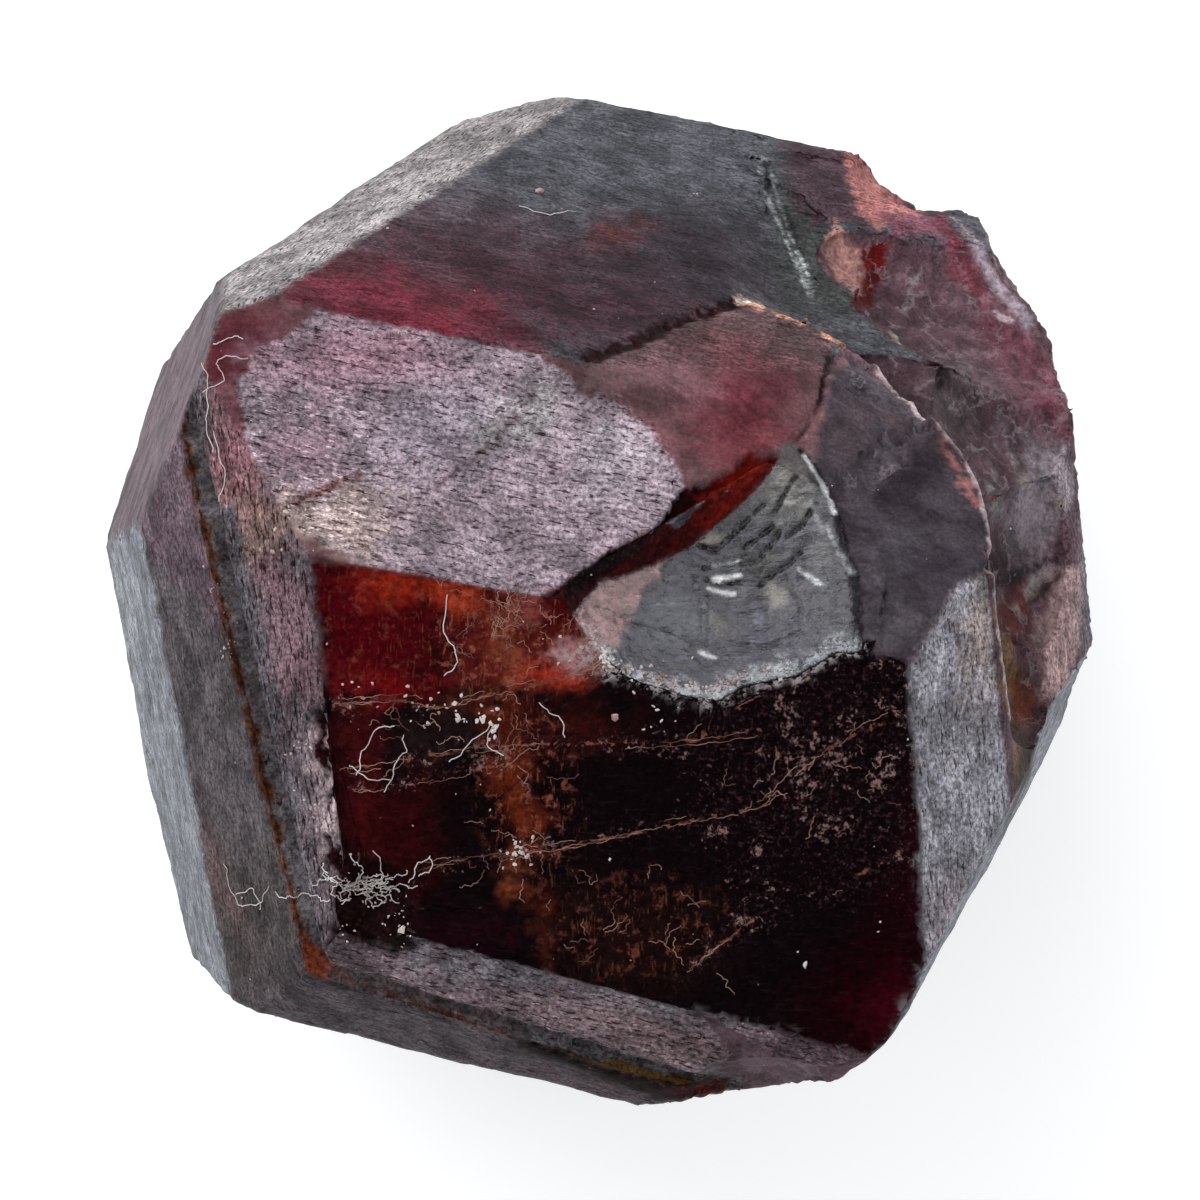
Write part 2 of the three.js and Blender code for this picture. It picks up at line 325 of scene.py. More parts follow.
def merged_solid(node):
    """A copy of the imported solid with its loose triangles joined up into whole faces, each with its patch."""
    bm = bmesh.new()
    bm.from_mesh(node.data)
    bmesh.ops.remove_doubles(bm, verts=bm.verts, dist=0.002 * MM)
    bmesh.ops.dissolve_degenerate(bm, edges=bm.edges, dist=SLIVER_WIDTH)
    bmesh.ops.dissolve_limit(bm, angle_limit=math.radians(1.2), verts=bm.verts, edges=bm.edges)
    bmesh.ops.dissolve_degenerate(bm, edges=bm.edges, dist=SLIVER_WIDTH)
    bm.normal_update()
    layer = bm.faces.layers.int.new("patch")
    directions = face_directions()
    slivers = []
    for face in bm.faces:
        face[layer] = PATCH[patch_of(face, directions)]
        if face.calc_area() < face.calc_perimeter() * SLIVER_WIDTH / 2:
            slivers.append(face)
    for face in slivers:
        beside = {other for edge in face.edges for other in edge.link_faces} - set(slivers)
        if beside:
            face[layer] = max(beside, key=lambda other: other.calc_area())[layer]
    return bm


def is_sharp(edge, layer, angle=0.15):
    """Whether two patches meet at an angle on this edge."""
    if not edge.is_manifold:
        return False
    first, second = edge.link_faces
    return first[layer] != second[layer] and edge.calc_face_angle() > angle


STEPS = {
    "window": 0.24, "left_bevel": 0.18, "front_bevel": 0.18, "right_bevel": 0.18, "bright": 0.18,
    "left_band": 0.24, "front_band": 0.20, "slate": 0.22, "right": 0.16, "back_band": 0.24,
    "left_rim": 0.24, "right_strip": 0.3, "rest": 1.2, "side": 0.42, "under": 0.6, "shoulder": 0.16,
    "seam": 0.12, "scar": 0.07, "wall": 0.10, "broken": 0.16, "pit": 0.10, "wedge": 0.20,
}
FINE_LINES = [
    FROST_OVAL + FROST_OVAL[:1], LIP, SLATE_CRACK, BLOCK_STEP, *BACK_SCRATCHES, SCAR_LEDGE, SCAR_RIGHT,
    SCAR_FRONT, *SCAR_STROKES,
]
FINE_REACH = 0.14
FINE_SHARE = 0.5
FINEST_STEP = 0.075
SPLIT_AT = 1.4
MOST_PASSES = 12
FLAT_ANGLE = 0.06
FLAT_ENOUGH = 0.97


def measure(bm, steps):
    """Each edge's ends, the step that its finest patch wants and how far it faces up, as arrays."""
    mesh = bpy.data.meshes.new("measured")
    bm.to_mesh(mesh)
    place = np.empty(len(mesh.vertices) * 3)
    mesh.vertices.foreach_get("co", place)
    place = place.reshape(-1, 3) / MM
    pairs = np.empty(len(mesh.edges) * 2, int)
    mesh.edges.foreach_get("vertices", pairs)
    pairs = pairs.reshape(-1, 2)
    sizes = np.empty(len(mesh.polygons), int)
    mesh.polygons.foreach_get("loop_total", sizes)
    normals = np.empty(len(mesh.polygons) * 3)
    mesh.polygons.foreach_get("normal", normals)
    patches = np.empty(len(mesh.polygons), int)
    mesh.attributes["patch"].data.foreach_get("value", patches)
    around = np.empty(len(mesh.loops), int)
    mesh.loops.foreach_get("edge_index", around)
    owner = np.repeat(np.arange(len(sizes)), sizes)
    wanted = np.full(len(pairs), np.inf)
    np.minimum.at(wanted, around, steps[patches][owner])
    upward = np.full(len(pairs), -1.0)
    np.maximum.at(upward, around, normals[2::3][owner])
    bpy.data.meshes.remove(mesh)
    return place[pairs[:, 0]], place[pairs[:, 1]], wanted, upward


def refine(bm, settings):
    """Splits long edges until each patch has the fineness that it needs."""
    steps = np.array([STEPS[name] for name in PATCHES]) * settings.fineness
    finest = FINEST_STEP * settings.fineness
    bmesh.ops.triangulate(bm, faces=bm.faces[:])
    for _ in range(MOST_PASSES):
        start, end, wanted, upward = measure(bm, steps)
        middle = (start + end) / 2
        length = np.linalg.norm(end - start, axis=1)
        fine = np.maximum(wanted * FINE_SHARE, finest)
        maybe = (length > fine * SPLIT_AT) & (upward > 0.1) & (middle[:, 2] > SIDES_UP_TO) & (length < 1.2)
        near = np.zeros(len(length), bool)
        for line in FINE_LINES:
            near[maybe] |= distance_to_line(middle[maybe, :2], line) < FINE_REACH + length[maybe] / 2
        wanted = np.where(near, np.minimum(fine, wanted), wanted)
        long = np.nonzero(length > wanted * SPLIT_AT)[0]
        if len(long) < len(length) * 0.01:
            return
        bm.edges.ensure_lookup_table()
        bmesh.ops.subdivide_edges(bm, edges=[bm.edges[i] for i in long], cuts=1)
        open_faces = [face for face in bm.faces if len(face.verts) > 3]
        bmesh.ops.triangulate(bm, faces=open_faces, quad_method="SHORT_EDGE", ngon_method="BEAUTY")
        inner = [edge for edge in bm.edges if is_flat(edge)]
        bmesh.ops.beautify_fill(bm, faces=bm.faces[:], edges=inner, method="ANGLE")
        relax(bm)


def even_out(bm, verts, passes):
    """Moves each of these points halfway to the middle of its neighbours, so many times."""
    for _ in range(passes):
        bmesh.ops.smooth_vert(bm, verts=verts, factor=0.5, use_axis_x=True, use_axis_y=True, use_axis_z=True)


def is_flat(edge):
    return edge.is_manifold and edge.calc_face_angle() < FLAT_ANGLE


def relax(bm):
    """Evens out the triangles inside each flat face."""
    bm.normal_update()
    even_out(bm, [vert for vert in bm.verts if all(is_flat(edge) for edge in vert.link_edges)], 2)
    bm.normal_update()


def drop_flaps(bm):
    """Deletes the faces that lie back to back on the same three corners."""
    places = {}
    for face in bm.faces:
        places.setdefault(frozenset(face.verts), []).append(face)
    flaps = [face for alike in places.values() if len(alike) > 1 for face in alike]
    bmesh.ops.delete(bm, geom=flaps, context="FACES")


def lift_to_planes(verts, plan, share):
    """Raises points, each by its share, to the worn shoulder's plane or the flat top, whichever is lower."""
    fall = SHOULDER_SLOPE.x * (plan[:, 0] - SHOULDER_AT.x) + SHOULDER_SLOPE.y * (plan[:, 1] - SHOULDER_AT.y)
    height = np.minimum(CAD_BOX[1].z / MM, SHOULDER_AT.z - fall / SHOULDER_SLOPE.z) * MM
    for vert, part, level in zip(verts, share, height):
        vert.co.z += max(level - vert.co.z, 0) * part


def fill_beside_scar(bm):
    """Brings the hollow's faces beyond the scar's outline up to the planes that they were cut from."""
    layer = bm.faces.layers.int["patch"]
    scar = PATCH["scar"]
    faces = [face for face in bm.faces if face[layer] == scar]
    verts = list({vert for face in faces for vert in face.verts})
    plan = np.array([vert.co[:2] for vert in verts]) / MM
    outline = SCAR_LEDGE + SCAR_RIGHT[1:] + SCAR_FRONT[-2::-1]
    beyond = smooth(-inside_outline(plan, outline), -0.03, 0.09)
    beyond *= np.maximum(right_of_line(plan, SCAR_RIGHT) < 0.2, plan[:, 1] < 0)
    lift_to_planes(verts, plan, beyond)
    high = [vert for vert in bm.verts if vert.co.z > TOP_FACES_FROM * MM]
    plan = np.array([vert.co[:2] for vert in high]) / MM
    panel = smooth(inside_outline(plan, SLATE_PANEL), -0.05, 0.25) * (inside_outline(plan, outline) < -0.05)
    lift_to_planes(high, plan, panel)
    middles = np.array([face.calc_center_median()[:2] for face in faces]) / MM
    right = right_of_line(middles, SCAR_RIGHT) < -0.03
    below = (inside_outline(middles, outline) < -0.03) & (middles[:, 1] < -0.8)
    ledge = np.maximum(inside_outline(middles, LEDGE_BITE), inside_outline(middles, LEDGE_TIP)) > 0
    for face, is_right, is_below, is_ledge in zip(faces, right, below, ledge):
        if is_ledge:
            face[layer] = PATCH["wall"]
        elif is_below:
            face[layer] = PATCH["window"]
        elif is_right:
            face[layer] = PATCH["shoulder"]
    bm.normal_update()


class Skin:
    """The fine mesh's points with what is known about each: place, outward direction and patch shares."""

    def __init__(self, bm):
        self.bm = bm
        bm.verts.ensure_lookup_table()
        layer = bm.faces.layers.int["patch"]
        bm.verts.index_update()
        count = len(bm.verts)
        self.place = np.array([v.co[:] for v in bm.verts]) / MM
        self.normal = np.array([v.normal[:] for v in bm.verts])
        self.share = {name: np.zeros(count) for name in PATCHES}
        total = np.zeros(count)
        for face in bm.faces:
            name = PATCHES[face[layer]]
            for vert in face.verts:
                self.share[name][vert.index] += 1
                total[vert.index] += 1
        for name in PATCHES:
            self.share[name] /= total
        self.plan = self.place[:, :2].copy()
        self.edge = self.edge_nearness()

    def edge_nearness(self):
        """1 on the solid's sharp edges, fading to 0 about a third of a millimetre away."""
        value = np.zeros(len(self.place))
        starts, ends = [], []
        layer = self.bm.faces.layers.int["patch"]
        for edge in self.bm.edges:
            a, b = edge.verts
            starts.append(a.index)
            ends.append(b.index)
            if is_sharp(edge, layer):
                value[a.index] = 1
                value[b.index] = 1
        starts, ends = np.array(starts), np.array(ends)
        length = np.linalg.norm(self.place[starts] - self.place[ends], axis=1)
        for _ in range(6):
            reach = np.exp(-length / 0.25)
            spread = value.copy()
            np.maximum.at(spread, ends, value[starts] * reach)
            np.maximum.at(spread, starts, value[ends] * reach)
            value = spread
        return value


def soften_edges(bm, settings):
    """Rounds the sharp edges a little, more on the worn shoulder."""
    layer = bm.faces.layers.int["patch"]
    sharp = set()
    for edge in bm.edges:
        if is_sharp(edge, layer) and not any(face[layer] == PATCH["rest"] for face in edge.link_faces):
            sharp.update(edge.verts)
    ring = set(sharp)
    for vert in sharp:
        ring.update(edge.other_vert(vert) for edge in vert.link_edges)
    even_out(bm, list(ring), settings.edge_passes)
    bm.normal_update()
    high = [vert for vert in bm.verts if vert.co.z > TOP_FACES_FROM * MM and vert.normal.z > 0.3]
    plan = np.array([vert.co[:2] for vert in high]) / MM
    worn = inside_outline(plan, WORN_BLOCK) > -0.3
    worn &= distance_to_line(plan, SCAR_LEDGE) > 0.25
    broken = [vert for vert in bm.verts if all(face[layer] == PATCH["broken"] for face in vert.link_faces)]
    even_out(bm, broken, settings.break_passes)
    even_out(bm, [vert for vert, is_worn in zip(high, worn) if is_worn], settings.worn_passes)
    bm.normal_update()


def carve(skin, settings):
    """Sinks and roughens the skin: how far each point moves along its outward direction, in millimetres."""
    place, plan, share = skin.place, skin.plan, skin.share
    top = smooth(skin.normal[:, 2], 0.02, 0.12) * (place[:, 2] > SIDES_UP_TO)
    soft = fractal(place, 0.55, 3, 3.0)
    fine = fractal(place, 2.2, 3, 8.0)
    grit = fractal(place, 6.0, 2, 15.0)
    near = nearest_cell(place, 0.75, 4.0)
    push = np.zeros(len(place))

    etched = sum(share[n] for n in (
        "left_bevel", "front_bevel", "right_bevel", "bright", "back_band", "left_rim", "right_strip", "side",
        "left_band", "front_band", "slate", "under",
    ))
    push -= etched * (0.035 + 0.05 * soft + 0.02 * fine)
    push -= share["window"] * (0.06 + 0.012 * soft)
    push -= skin.edge * (0.01 + 0.09 * np.clip(fine, 0, 1)) * (1 - share["rest"])

    # the broken corner: hackly, with ridges between shallow cups
    hackle = 0.30 * np.clip(0.55 - near, -0.4, 0.6) + 0.16 * fine + 0.05 * grit
    push -= share["broken"] * settings.break_relief / MM * (0.35 + hackle)

    # beyond the lip everything stands lower
    beyond = -right_of_line(plan, LIP)
    outside = np.clip((plan[:, 0] - 3.0) / 1.5, 0, 1) * np.clip((plan[:, 1] + 4.5) / 2.0, 0, 1)
    step = smooth(beyond, -0.03, 0.14) * smooth(beyond, 5.0, 1.0) * outside * top
    push -= 0.42 * step * (1 - share["window"])
    rim = np.exp(-(beyond / 0.12) ** 2) * outside * top
    push += 0.05 * rim

    # the raised block's step and the crack beside the slate panel
    push -= 0.16 * groove(plan, BLOCK_STEP, 0.16) * top * (0.6 + 0.8 * np.abs(fine))
    push -= 0.10 * groove(plan, SLATE_CRACK, 0.09) * top
    for line in BACK_SCRATCHES:
        push -= 0.05 * groove(plan, line, 0.08) * top
    for line in WINDOW_CRACKS:
        push -= 0.03 * groove(plan, line, 0.06) * share["window"]

    # the chipped scar: grooves and faint arcs spreading from where the blow fell
    blow = np.array([4.4, 4.4])
    reach = np.linalg.norm(plan - blow, axis=1) + 0.25 * soft
    arcs = np.abs(np.sin(reach * math.pi / 0.55 + 1.3 * fine))
    fade = smooth(reach, 5.0, 1.0)
    ripple = settings.ripple_depth / MM
    push -= share["scar"] * ripple * ((1 - arcs) * (0.2 + 0.8 * fade) + 0.5 * fine)
    lumps = 0.5 - np.clip(near, 0, 1)
    push -= share["scar"] * 1.6 * ripple * (lumps + 0.5)
    for line in SCAR_STROKES:
        apart = distance_to_line(plan, line) + 0.05 * np.abs(grit)
        push -= share["scar"] * 0.17 * np.exp(-(apart / 0.05) ** 2)
    for line in SCAR_HAIRLINES:
        push -= share["scar"] * 0.05 * groove(plan, line, 0.04)
    crumbled = smooth(distance_to_line(plan, SCAR_FRONT) + 0.1 * fine, 0.35, 0.05) * share["scar"]
    push -= crumbled * 0.12 * np.abs(grit)
    bitten = smooth(inside_outline(plan, LEDGE_BITE) + 0.08 * fine, -0.05, 0.08) * top * (place[:, 2] > 20)
    push -= bitten * (0.22 + 0.10 * np.abs(fine)) * (share["bright"] + share["shoulder"])
    push -= share["wall"] * (0.08 + 0.14 * np.abs(fine) + 0.06 * grit)
    push -= share["seam"] * (0.05 + 0.10 * np.abs(fine))
    dirt = share["pit"] + share["side"] * (signed_distance(plan, PIT) > 0) * (place[:, 2] > 20)
    push -= dirt * (0.05 + 0.30 * (near - 0.4) + 0.22 * np.abs(fine) + 0.10 * grit)
    push -= share["wedge"] * (0.05 + 0.16 * np.abs(fine))
    return push


def settle(skin, push):
    """Moves the points and keeps them inside the solid's box and above the rest face."""
    low, high = (np.array(corner) / MM for corner in CAD_BOX)
    moved = skin.place + skin.normal * push[:, None]
    moved = np.clip(moved, low, high)
    for vert, co in zip(skin.bm.verts, moved * MM):
        vert.co = co
    skin.bm.normal_update()
    skin.place = moved


# ---------------------------------------------------------------------------------------------------
# Painting
# ---------------------------------------------------------------------------------------------------

def srgb(red, green, blue):
    """A colour given in display values, as linear light."""
    def linear(value):
        value /= 255
        return value / 12.92 if value <= 0.04045 else ((value + 0.055) / 1.055) ** 2.4
    return np.array([linear(red), linear(green), linear(blue)])


# The studio's light is brighter than a display colour allows for, so painted colours are brought down
PAINT_LEVEL = 0.62


# Each patch's display colour. The pale blue-grey of back_band, left_rim and right_strip is a painted reflection
# of the pale floor on these steep faces; the near-black pit is painted shade in its hollow
FACE_TONES = {
    "window": (12, 4, 7), "left_bevel": (100, 90, 95), "front_bevel": (116, 101, 107),
    "right_bevel": (150, 148, 156), "bright": (118, 84, 88), "left_band": (87, 81, 84),
    "front_band": (78, 71, 75), "slate": (89, 90, 97), "right": (92, 70, 78), "back_band": (162, 156, 156),
    "left_rim": (136, 140, 148), "right_strip": (140, 143, 152), "rest": (90, 86, 88), "side": (92, 90, 94),
    "under": (84, 80, 84), "shoulder": (112, 84, 87), "seam": (92, 88, 91), "scar": (65, 63, 73),
    "wall": (62, 5, 8), "broken": (104, 76, 84), "pit": (34, 8, 14), "wedge": (94, 76, 83),
}
TOP = ("bright", "shoulder", "wall")
BACK = ("slate",)
CORNER = ("broken", "right", "side", "slate", "right_strip")
WINDOW = ("window",)
SCAR = ("scar",)
LEFT = ("left_bevel",)
BLOCK = ("bright", "shoulder", "slate")
FRONT = ("front_bevel", "front_band", "seam", "wedge", "side", "under")
ANY = tuple(PATCHES)


def ellipse(x, y, across, along, turn=0.0):
    """A soft round patch: its centre, half-widths and turn in degrees."""
    return {"centre": (x, y), "half": (across, along), "turn": math.radians(turn)}


PIT = ellipse(-6.6, -7.7, 1.15, 1.0)

# Webs of rust in the window: shape, strength, and the distances inside it that they start and are full at
RUST_WEBS = [
    (ellipse(-3.4, -0.6, 2.2, 1.5), 1.0, -0.8, 0.6),
    (ellipse(-2.9, -4.4, 1.1, 2.4, 8), 0.9, -0.5, 0.5),
    (ellipse(-0.2, -8.0, 2.0, 1.2), 0.45, -0.7, 0.5),
    (EMBER, 0.3, -0.2, 0.3),
]

# Coloured patches, painted in order: faces, shape, display colour, strength, softness and raggedness in mm
COLOUR_PATCHES = [
    # the back face, slate-coloured with a crimson front edge: a painted glow of light coming through the
    # crystal
    (BACK, ellipse(-4.6, 9.2, 4.2, 1.7, -8), (74, 48, 56), 0.95, 1.6, 0.4),
    (BACK, ellipse(-1.0, 7.9, 4.6, 1.5, 0), (64, 36, 46), 0.9, 1.2, 0.4),
    (BACK, ellipse(2.2, 9.6, 2.6, 1.5, 0), (46, 34, 42), 0.85, 1.2, 0.4),
    # painted reflection: the top-left band made paler still in its middle
    (("back_band",), ellipse(-5.8, 10.4, 2.2, 0.8, 40), (184, 176, 178), 0.8, 0.5, 0.4),
    (("side",), ellipse(-12.0, 4.4, 1.8, 3.8, -20), (112, 94, 102), 0.9, 0.6, 0.4),
    (BACK, [(-11.0, 6.6), (-9.5, 7.9), (-7.7, 9.2), (-5.9, 8.9), (-3.6, 7.6), (-2.4, 6.6), (-5.4, 6.4),
            (-8.0, 6.6)],
     (106, 38, 53), 0.95, 0.8, 0.3),
    (BACK, ellipse(-5.0, 7.6, 1.3, 0.5), (112, 32, 48), 0.7, 0.6, 0.3),
    (BACK, ellipse(0.3, 10.0, 0.9, 0.4, 15), (88, 40, 42), 0.85, 0.5, 0.3),
    (BACK, [(5.0, 12.5), (6.6, 11.8), (7.0, 8.0), (4.6, 8.2)], (64, 66, 64), 0.9, 0.5, 0.3),
    (BACK, [(5.3, 14.3), (8.6, 13.6), (7.6, 10.3), (6.2, 10.7), (5.5, 11.5)], (76, 56, 64), 0.95, 0.3, 0.3),
    # the worn block between the step, the lip and the scar
    (BLOCK, WORN_BLOCK, (104, 78, 80), 1.0, 0.12, 0.15),
    (BLOCK, ellipse(0.8, 6.3, 2.0, 0.6, 20), (74, 66, 62), 0.8, 0.5, 0.3),
    (BLOCK, ellipse(4.2, 7.1, 1.3, 0.6, -20), (92, 76, 78), 0.7, 0.5, 0.3),
    # painted glow: the block's crimson middle stands for light coming through the crystal
    (BLOCK, ellipse(2.6, 5.4, 1.5, 1.3), (116, 48, 60), 0.85, 1.4, 0.4),
    (BLOCK, ellipse(2.9, 4.2, 0.8, 0.9), (120, 56, 64), 0.6, 0.8, 0.3),
    (BLOCK, ellipse(0.9, 5.9, 1.4, 0.9), (126, 92, 98), 0.8, 0.6, 0.3),
    (BLOCK, [(3.2, 3.7), (4.0, 4.2), (4.5, 3.95), (4.9, 3.1), (4.6, 2.8)], (86, 84, 84), 0.9, 0.1, 0.1),
    # the top face: a frosted oval in a smooth pink and brown margin
    (TOP, ellipse(-10.0, 5.8, 1.6, 2.2), (84, 32, 40), 0.95, 0.9, 0.3),
    (TOP + LEFT, ellipse(-10.0, 3.6, 0.8, 1.9), (146, 102, 110), 0.85, 0.4, 0.4),
    (TOP, ellipse(-8.9, 2.1, 0.8, 0.7), (128, 86, 68), 0.9, 0.3, 0.4),
    (TOP, FROST_OVAL, (161, 144, 154), 1.0, 0.07, 0.18),
    (("bright",), ellipse(-8.4, 3.9, 1.4, 1.2), (126, 102, 112), 0.8, 0.7, 0.5),
    (("bright",), ellipse(-7.8, 2.3, 1.8, 0.9), (176, 156, 150), 0.8, 0.6, 0.5),
    (("bright",), ellipse(-7.0, 6.3, 2.4, 0.9), (146, 110, 123), 0.8, 0.6, 0.4),
    (("bright",), ellipse(-5.0, 4.5, 1.7, 1.1), (164, 150, 164), 0.8, 0.8, 0.4),
    (("bright",), ellipse(-2.9, 4.7, 1.1, 0.6, 25), (158, 154, 154), 0.8, 0.4, 0.4),
    (("bright",), ellipse(-0.6, 3.9, 1.1, 0.9), (186, 174, 183), 0.8, 0.4, 0.5),
    # the slate panel beyond the crack
    (BLOCK + ("broken",), SLATE_PANEL, (72, 64, 71), 1.0, 0.12, 0.15),
    (BLOCK, ellipse(7.2, 5.0, 1.0, 0.7, -30), (88, 74, 78), 0.8, 0.5, 0.4),
    (BLOCK, ellipse(6.5, 1.2, 1.0, 0.4, 35), (84, 80, 86), 0.75, 0.6, 0.5),
    (BLOCK, ellipse(6.9, 3.3, 0.9, 0.7), (40, 33, 39), 0.8, 0.6, 0.4),
    (BLOCK, ellipse(5.8, 4.4, 0.5, 0.9), (86, 74, 78), 0.6, 0.5, 0.4),
    (BLOCK, ellipse(7.4, 0.9, 0.8, 0.5), (50, 42, 50), 0.8, 0.6, 0.4),
    (BLOCK, ellipse(6.0, 0.1, 0.9, 0.7), (98, 90, 98), 0.8, 0.6, 0.4),
    (BLOCK, ellipse(6.3, -0.6, 0.9, 0.5), (92, 86, 92), 0.7, 0.5, 0.3),
    # the bevels and bands
    (LEFT, ellipse(-9.7, 2.0, 0.7, 1.2), (132, 106, 98), 0.8, 0.5, 0.5),
    # painted light: a pale band on the narrow slope beside the window, lighter than the lamps leave it
    (LEFT, ellipse(-7.6, -5.2, 0.45, 2.0, 12), (176, 156, 160), 0.9, 0.2, 0.3),
    (LEFT, [(-9.9, 1.5), (-8.7, 1.5), (-8.1, -1.0), (-7.8, -2.4), (-8.6, -2.6), (-9.1, -1.5)],
     (118, 92, 99), 0.85, 0.25, 0.4),
    (LEFT, [(-10.7, 2.6), (-10.1, 2.6), (-9.4, -1.5), (-8.4, -6.5), (-8.0, -8.8), (-8.5, -8.8), (-9.8, -3.0)],
     (92, 91, 97), 0.9, 0.12, 0.25),
    # the seam: rust at its head and foot, grey between, black under the front bite
    (("seam", "left_band"), [(-8.45, -8.2), (-8.1, -8.6), (-7.2, -9.4), (-7.9, -9.4), (-8.4, -9.1)],
     (122, 52, 26), 0.9, 0.06, 0.12),
    (("seam",), [(-7.7, -8.8), (-7.7, -9.6), (-3.2, -11.3), (-2.6, -10.6)], (88, 77, 79), 0.9, 0.2, 0.2),
    (("front_bevel",), ellipse(-3.4, -9.1, 2.2, 0.5, -15), (112, 110, 117), 0.8, 0.4, 0.5),
    (("front_bevel",), ellipse(-0.6, -10.6, 2.4, 0.4, -15), (130, 108, 108), 0.7, 0.4, 0.5),
    (("front_bevel",), ellipse(1.4, -10.0, 1.2, 0.4, -15), (118, 118, 124), 0.7, 0.4, 0.4),
    (("front_bevel",), ellipse(5.0, -11.6, 2.4, 0.8, -20), (76, 60, 68), 0.8, 0.8, 0.4),
    (("right_bevel",), ellipse(8.9, -0.8, 0.7, 1.3), (166, 150, 142), 0.8, 0.6, 0.5),
    (("right_bevel",), ellipse(8.4, -8.2, 1.0, 1.6), (132, 118, 124), 0.7, 0.8, 0.4),
    (("left_band",), [(-10.4, 1.2), (-10.5, -0.8), (-11.3, 0.4), (-13.6, 2.6), (-13.0, 6.5), (-11.5, 6.5)],
     (108, 90, 100), 0.95, 0.2, 0.4),
    (("left_band",), ellipse(-9.9, -8.4, 1.2, 2.0, 20), (66, 58, 54), 0.6, 0.8, 0.5),
    (("left_band",), ellipse(-11.3, -5.5, 0.3, 1.7, 25), (98, 76, 76), 0.7, 0.4, 0.5),
    (("front_band",), ellipse(-1.5, -12.6, 2.6, 0.7, -12), (88, 72, 78), 0.7, 0.6, 0.5),
    # painted reflection: a pale blue-grey band down the left rim
    (("left_rim",), ellipse(-13.2, -2.0, 0.5, 6.0), (168, 172, 180), 0.5, 0.5, 0.3),
    # the broken corner
    (CORNER, [(7.5, 12.9), (8.2, 12.6), (9.4, 10.9), (8.1, 10.8), (7.8, 10.3), (7.4, 11.0)],
     (182, 118, 114), 0.95, 0.12, 0.2),
    (CORNER, [(6.3, 10.3), (6.7, 10.7), (7.1, 10.0), (7.5, 9.8), (7.7, 9.4), (7.1, 8.6), (6.7, 9.2)],
     (206, 150, 142), 0.95, 0.12, 0.15),
    (CORNER, [(7.5, 10.1), (8.1, 10.1), (7.9, 9.3), (7.5, 8.6), (6.9, 8.0), (6.75, 8.4), (7.3, 9.0)],
     (92, 6, 8), 1.0, 0.08, 0.12),
    (CORNER, [(8.2, 10.8), (9.4, 10.9), (9.9, 11.1), (9.7, 10.2), (8.3, 10.2)], (140, 84, 100), 0.9, 0.2,
     0.2),
    (CORNER, [(9.5, 10.8), (9.9, 11.0), (10.8, 8.9), (10.9, 8.2), (10.3, 8.6)], (122, 54, 68), 0.9, 0.25,
     0.15),
    (CORNER, [(9.95, 11.2), (11.0, 9.7), (12.1, 7.8), (11.7, 7.5), (10.8, 9.2)], (184, 168, 180), 0.95, 0.1,
     0.1),
    (CORNER, [(10.6, 8.3), (11.2, 8.6), (12.7, 6.3), (12.7, 4.2), (11.2, 5.5), (10.4, 7.0)], (114, 64, 76),
     0.9, 0.5, 0.4),
    (CORNER, ellipse(9.3, 6.0, 1.4, 1.0), (116, 100, 106), 0.7, 0.8, 0.6),
    (CORNER, ellipse(8.6, 6.7, 0.28, 0.3), (40, 14, 24), 1.0, 0.15, 0.15),
    (CORNER, ellipse(9.1, 6.2, 0.3, 0.35), (36, 12, 22), 1.0, 0.15, 0.15),
    (CORNER, ellipse(10.8, 4.6, 0.9, 1.2), (96, 70, 80), 0.7, 0.7, 0.5),
    (CORNER, ellipse(11.6, 2.6, 0.8, 1.7), (160, 148, 156), 0.9, 0.5, 0.5),
    # painted highlights: two pale upright glints on the broken corner
    (CORNER, ellipse(10.1, 3.1, 0.2, 1.0, -15), (170, 168, 166), 0.8, 0.15, 0.15),
    (CORNER, ellipse(10.5, 2.6, 0.15, 0.8, -15), (150, 146, 146), 0.7, 0.12, 0.12),
    (CORNER, ellipse(10.2, 0.9, 0.8, 0.6), (36, 12, 24), 0.95, 0.3, 0.4),
    (CORNER, ellipse(10.8, -0.4, 0.5, 0.9), (104, 28, 26), 0.95, 0.25, 0.3),
    (CORNER, [(9.2, -0.2), (10.7, -0.7), (11.0, -2.5), (10.0, -4.2), (9.6, -2.4)], (150, 116, 72), 0.95,
     0.2, 0.3),
    (CORNER, ellipse(11.0, -2.4, 0.4, 0.5), (140, 66, 44), 0.95, 0.15, 0.2),
    (CORNER, [(12.9, 1.0), (12.9, -0.5), (12.2, -2.3), (11.4, -2.7), (11.6, -0.5), (12.2, 1.0)],
     (172, 142, 142), 0.95, 0.15, 0.25),
    (CORNER, ellipse(10.5, -4.6, 0.5, 1.5), (42, 36, 26), 0.9, 0.3, 0.3),
    # painted reflection: a pale blue-grey band down the right-hand rim
    (CORNER, ellipse(13.3, 1.0, 0.5, 5.0), (110, 112, 120), 0.9, 0.3, 0.2),
    # the dirt pit and the bite under the front seam, both painted near black: painted shade in the pit's hollow
    # and in the bite's recess
    (ANY, PIT, (24, 9, 12), 0.97, 0.2, 0.4),
    (FRONT, [(-3.45, -10.85), (-1.9, -11.2), (0.1, -11.7), (2.6, -12.1), (2.4, -12.6), (0.7, -12.7),
             (0.1, -12.45), (-0.9, -12.0), (-1.9, -11.7), (-2.7, -11.35)], (20, 5, 6), 1.0, 0.08, 0.12),
    (FRONT, [(-2.2, -11.2), (0.1, -11.7), (1.8, -12.05), (1.7, -12.2), (0.0, -11.95), (-1.6, -11.45)],
     (96, 72, 34), 0.7, 0.06, 0.12),
    (FRONT, ellipse(1.8, -12.4, 0.9, 0.25, 0), (62, 8, 14), 0.8, 0.15, 0.15),
    # the scar
